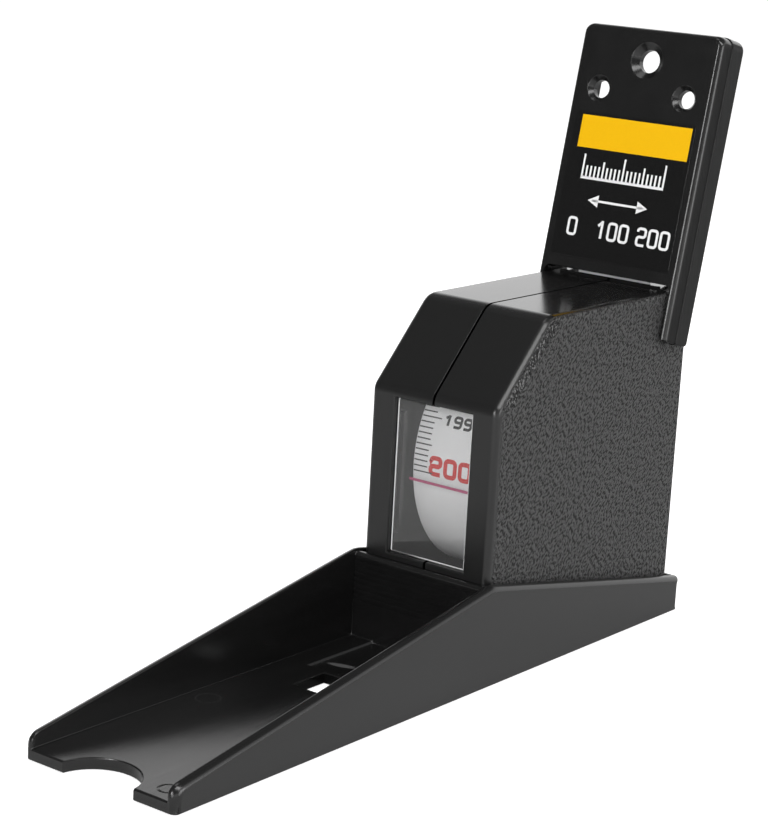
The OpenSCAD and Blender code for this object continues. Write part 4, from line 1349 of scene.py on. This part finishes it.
def ink_stroke(skin, line, width, slot=0, place=on_coil):
    """A stroke of ink along a line of (x, arc) points: each point moved to both sides by half the
    width along the bisector, divided by the cosine of half the turn there."""
    line = np.asarray(line, float)
    closed = np.allclose(line[0], line[-1])
    step = np.diff(line, axis=0)
    step /= np.linalg.norm(step, axis=1)[:, None]
    before, after = np.vstack([step[:1], step]), np.vstack([step, step[-1:]])
    if closed:
        line, before, after = line[:-1], np.roll(step, 1, 0), step
    across = np.column_stack([-(before + after)[:, 1], (before + after)[:, 0]])
    across /= np.linalg.norm(across, axis=1)[:, None]
    cosine = across[:, 0] * -before[:, 1] + across[:, 1] * before[:, 0]
    across *= (width / 2 / np.maximum(cosine, 0.5))[:, None]
    left, right = line + across, line - across
    low, high = -INK_T / 2, INK_T
    edges = (left, low), (left, high), (right, high), (right, low)
    rows = np.stack([place(side[:, 0], side[:, 1], lift) for side, lift in edges], 1)
    if closed:
        skin.grid(np.concatenate([rows, rows[:1]]), slot=slot, around=True)
    else:
        skin.prism(list(rows), slot)


def soft_line(corners, radius):
    """Line whose inner corners are rounded. Its ends stay as they are, so the arcs worked out for
    them, which are no numbers where the line closes, are dropped."""
    corners = np.asarray(corners, float)
    if len(corners) == 2:
        return corners
    with np.errstate(invalid="ignore"):
        loop = rounded(corners, radius, 4)
    return np.vstack([corners[:1], loop[5:-5], corners[-1:]])


# The lines of each digit in a box one wide and one high
DIGITS = {
    0: [[(0.5, 0), (1, 0), (1, 1), (0, 1), (0, 0), (0.5, 0)]],
    1: [[(0.1, 0.74), (0.6, 1)], [(0.6, 1.08), (0.6, 0)]],
    2: [[(0, 0.8), (0, 1), (1, 1), (1, 0.5), (0, 0.5), (0, 0), (1, 0)]],
    3: [[(0, 1), (1, 1), (1, 0), (0, 0)], [(0.25, 0.5), (0.95, 0.5)]],
    4: [[(0, 1), (0, 0.35), (1, 0.35)], [(0.7, 0.8), (0.7, 0)]],
    5: [[(1, 1), (0, 1), (0, 0.5), (1, 0.5), (1, 0), (0, 0)]],
    6: [[(1, 1), (0, 1), (0, 0), (1, 0), (1, 0.5), (0.1, 0.5)]],
    7: [[(0, 1), (1, 1), (0.4, 0)]],
    8: [[(0.5, 0), (1, 0), (1, 1), (0, 1), (0, 0), (0.5, 0)], [(0.05, 0.5), (0.95, 0.5)]],
    9: [[(0, 0), (1, 0), (1, 1), (0, 1), (0, 0.5), (0.9, 0.5)]],
}


# Numbers on the tape: size of a digit, stroke, pitch, left end, rise over the mark, and finish
BIG_PRINT = (2.1, 2.9), 0.82, 3.2, -4.2, -0.0, 1
SMALL_PRINT = (1.4, 1.8), 0.52, 2.15, -3.0, -1.0, 0
MARKS = 100


def ink_number(skin, number, at, size, pitch, stroke, slot=0, place=on_coil):
    """Digits of a number, each a pitch to the right of the one before."""
    for i, digit in enumerate(str(number)):
        for line in DIGITS[int(digit)]:
            line = soft_line(np.array(line) * size, 0.3 * size[0])
            ink_stroke(skin, line + (at[0] + i * pitch, at[1]), stroke, slot, place)


def mark_length(k, ten, five, one):
    """Length of mark k on a rule, by whether it is a ten, a five or neither."""
    return ten if k % 10 == 0 else five if k % 5 == 0 else one


def make_scale():
    """A hundred millimetre marks at the tape's left edge and a number at every tenth, the top one
    large and red."""
    skin = Skin()
    start = -TAPE_HALF + 0.1
    for k in range(MARKS):
        length = mark_length(k, 4.15, 3.4, 2.9)
        ink_stroke(skin, [(start, TOP_MARK + k), (start + length, TOP_MARK + k)], MARK_T, 0)
    for k in range(MARKS // 10):
        size, stroke, pitch, left, rise, slot = BIG_PRINT if k == 0 else SMALL_PRINT
        ink_number(skin, SCALE_TOP - k, (left, TOP_MARK + 10 * k + rise), size, pitch, stroke, slot)
    return skin.mesh("tape_scale", "reel", [finishes["ink_black"], finishes["ink_red"]])


def make_line():
    """Reading line on the back of the lens: a thin raised bar of ink across the window."""
    low, high = box_of("reading_line")
    mid = (low[2] + high[2]) / 2 + 0.12
    skin = Skin()
    bar = rectangle(low[0], mid - LINE_T / 2, high[0], mid + LINE_T / 2)
    skin.prism([along_y(bar, high[1]), along_y(bar, low[1])])
    return skin.mesh("line", "head", [finishes["line_print"]], ["reading_line"], "line_print")


def make_label_print():
    """White print on the label: a rule, a double arrow and the ends of the range."""
    skin = Skin()
    film = plate_box("plate_label")[0][1]

    def on_label(x, up, lift):
        return on_plate(np.column_stack([x, up]), film - lift)

    left, step, foot = RULE
    right = left + 20 * step
    ink_stroke(skin, [(left - 0.19, foot), (right + 0.19, foot)], 0.5, 0, on_label)
    for k in range(21):
        top = foot + mark_length(k, 4.4, 3.3, 2.3)
        ink_stroke(skin, [(left + k * step, foot), (left + k * step, top)], 0.38, 0, on_label)
    middle, up = (left + right) / 2, 13.9
    ink_stroke(skin, [(middle - 5.6, up), (middle + 5.6, up)], 0.42, 0, on_label)
    for side in (-1, 1):
        tip = middle + side * 6.6
        head = np.array([(tip, up), (tip - side * 2.3, up + 1.15), (tip - side * 2.3, up - 1.15)])
        skin.prism([on_plate(head, film), on_plate(head, film - INK_T)])
    for number, at in ((0, left - 0.85), (SCALE_TOP // 2, middle - 3.4), (SCALE_TOP, right - 3.4)):
        ink_number(skin, number, (at, 7.1), (1.7, 3.1), 2.55, 0.5, 0, on_label)
    return skin.mesh("label_print", "plate", [finishes["white_print"]], ["label_scale"], "white_print")


make_coil()
make_scale()
make_line()
make_label_print()

# %% [markdown]
# ## Free run of the tape
# Between the plate and the housing the tape pays out. One strip runs from the plate at its top to
# the housing's mouth at its bottom, and stays where it is made. Its scale is painted by place, not
# by the mesh, with the marks a millimetre apart.


# %% Tape strip
STRIP_STEPS = 39


def scale_material():
    """Marks by distance below the plate: every millimetre a short one, longer at fives and tens.
    The distance gets a large whole number added, so that it is never negative."""
    paint = Paint("tape_scale_print")
    down = (mouth[1] - paint.y) * math.sin(LEAN) + (mouth[2] - paint.z) * math.cos(LEAN) + 4000
    near = abs((down + 0.5) % 1.0 - 0.5).step(0.16, 0.10)
    five = abs((down + 2.5) % 5.0 - 2.5).step(0.4, 0.3)
    ten = abs((down + 5) % 10.0 - 5).step(0.4, 0.3)
    length = 2.9 + five * 0.5 + ten * 4.0
    mark = near * (TAPE_HALF - paint.x - length).step(0.05, -0.05) * (TAPE_HALF - paint.x).step(0.1, 0.2)
    return tape_paint(paint, mark, grey(0.02))


def make_strip():
    """The tape's section carried down in equal steps. Its side to the wall has the scale."""
    low, high = plate_box("tape_run")
    ends = rectangle(low[0], low[1], high[0], high[1])
    levels = np.linspace(low[2], high[2], STRIP_STEPS + 1)
    rows = np.stack([from_plate(along_z(ends, up)) for up in levels])
    skin = Skin()
    back = np.zeros((STRIP_STEPS, 4), bool)
    back[:, 2] = True
    skin.grid(rows, ~back, 0, around=True)
    skin.grid(rows, back, 1, around=True)
    for end in (0, -1):
        skin.add(rows[end], [[0, 1, 2, 3]])
    materials = [finishes["tape_steel"], scale_material()]
    strip = skin.mesh("tape_strip", None, materials, ["tape_run"], "tape_steel")
    start = from_plate([0, low[1], plate_box("tape_clamp")[0][2]])
    end = from_plate([0, low[1], low[2]])
    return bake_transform(strip)


make_strip()

# %% [markdown]
# ## Metal and inner parts
# The clamp, the screws, the spring and the reel keep their solids and get their own finishes:
# zinc plate with a faint cloudy bloom, blued spring steel with rolling lines, and moulded reel
# plastic with a soft sheen. The stripe and the hidden stretches of tape get theirs here too.


# %% Inner finishes
def zinc_material():
    """Zinc plate: a cloudy bloom and fine scratches along x."""
    paint = Paint("zinc_steel")
    bloom = paint.noise(paint.place, 1.5, 3.0, 0.6)
    scratch = paint.noise(paint.scaled(0.6, 9.0, 9.0), 1.0, 2.0)
    colour = paint.mix(bloom, (0.46, 0.47, 0.50, 1), (0.62, 0.62, 0.60, 1))
    return paint.principled(
        Base_Color=colour, Metallic=1.0, Roughness=0.24 + bloom * 0.16 + scratch * 0.1,
        Normal=paint.bump(scratch * 0.5 + bloom * 0.5, 0.01))


def spring_material():
    """Blued spring steel: rolling lines round the coil and a slow change of tint."""
    paint = Paint("spring_steel")
    lines = paint.noise(paint.scaled(8.0, 0.3, 0.3), 1.0, 2.0)
    tint = paint.noise(paint.place, 0.4, 2.0)
    colour = paint.mix(tint, (0.10, 0.12, 0.17, 1), (0.20, 0.20, 0.22, 1))
    return paint.principled(
        Base_Color=colour, Metallic=1.0, Roughness=0.25 + lines * 0.2, Normal=paint.bump(lines, 0.01))


def moulded_material(name, dark, light, rough):
    """Moulded plastic between two colours, with slow flow marks and fine pores."""
    paint = Paint(name)
    flow = paint.noise(paint.place, 0.5, 2.0)
    pores = paint.noise(paint.place, 5.0, 2.0)
    return paint.principled(
        Base_Color=paint.mix(flow, dark, light), Roughness=rough + pores * 0.12,
        Normal=paint.bump(flow * 0.7 + pores * 0.3, 0.02))


WASHER_CREAMS = (0.62, 0.61, 0.57, 1), (0.70, 0.69, 0.65, 1)
finishes["zinc_steel"] = zinc_material()
finishes["spring_steel"] = spring_material()
finishes["reel_plastic"] = moulded_material("reel_plastic", grey(0.020), grey(0.035), 0.35)
finishes["washer_plastic"] = moulded_material("washer_plastic", *WASHER_CREAMS, 0.4)
for name in sorted(nodes):
    if not nodes[name].hide_render:
        slot_name = nodes[name].data.materials[0].name
        nodes[name].material_slots[0].material = finishes[slot_name]
        print(name, "gets", slot_name)

# %% Finish
size = {"cad": [list(v) for v in cad_box], "visual": [list(v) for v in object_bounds()]}
print("box grew by", np.round((np.array(size["visual"]) - np.array(size["cad"])) / MM, 2).tolist(), "mm")
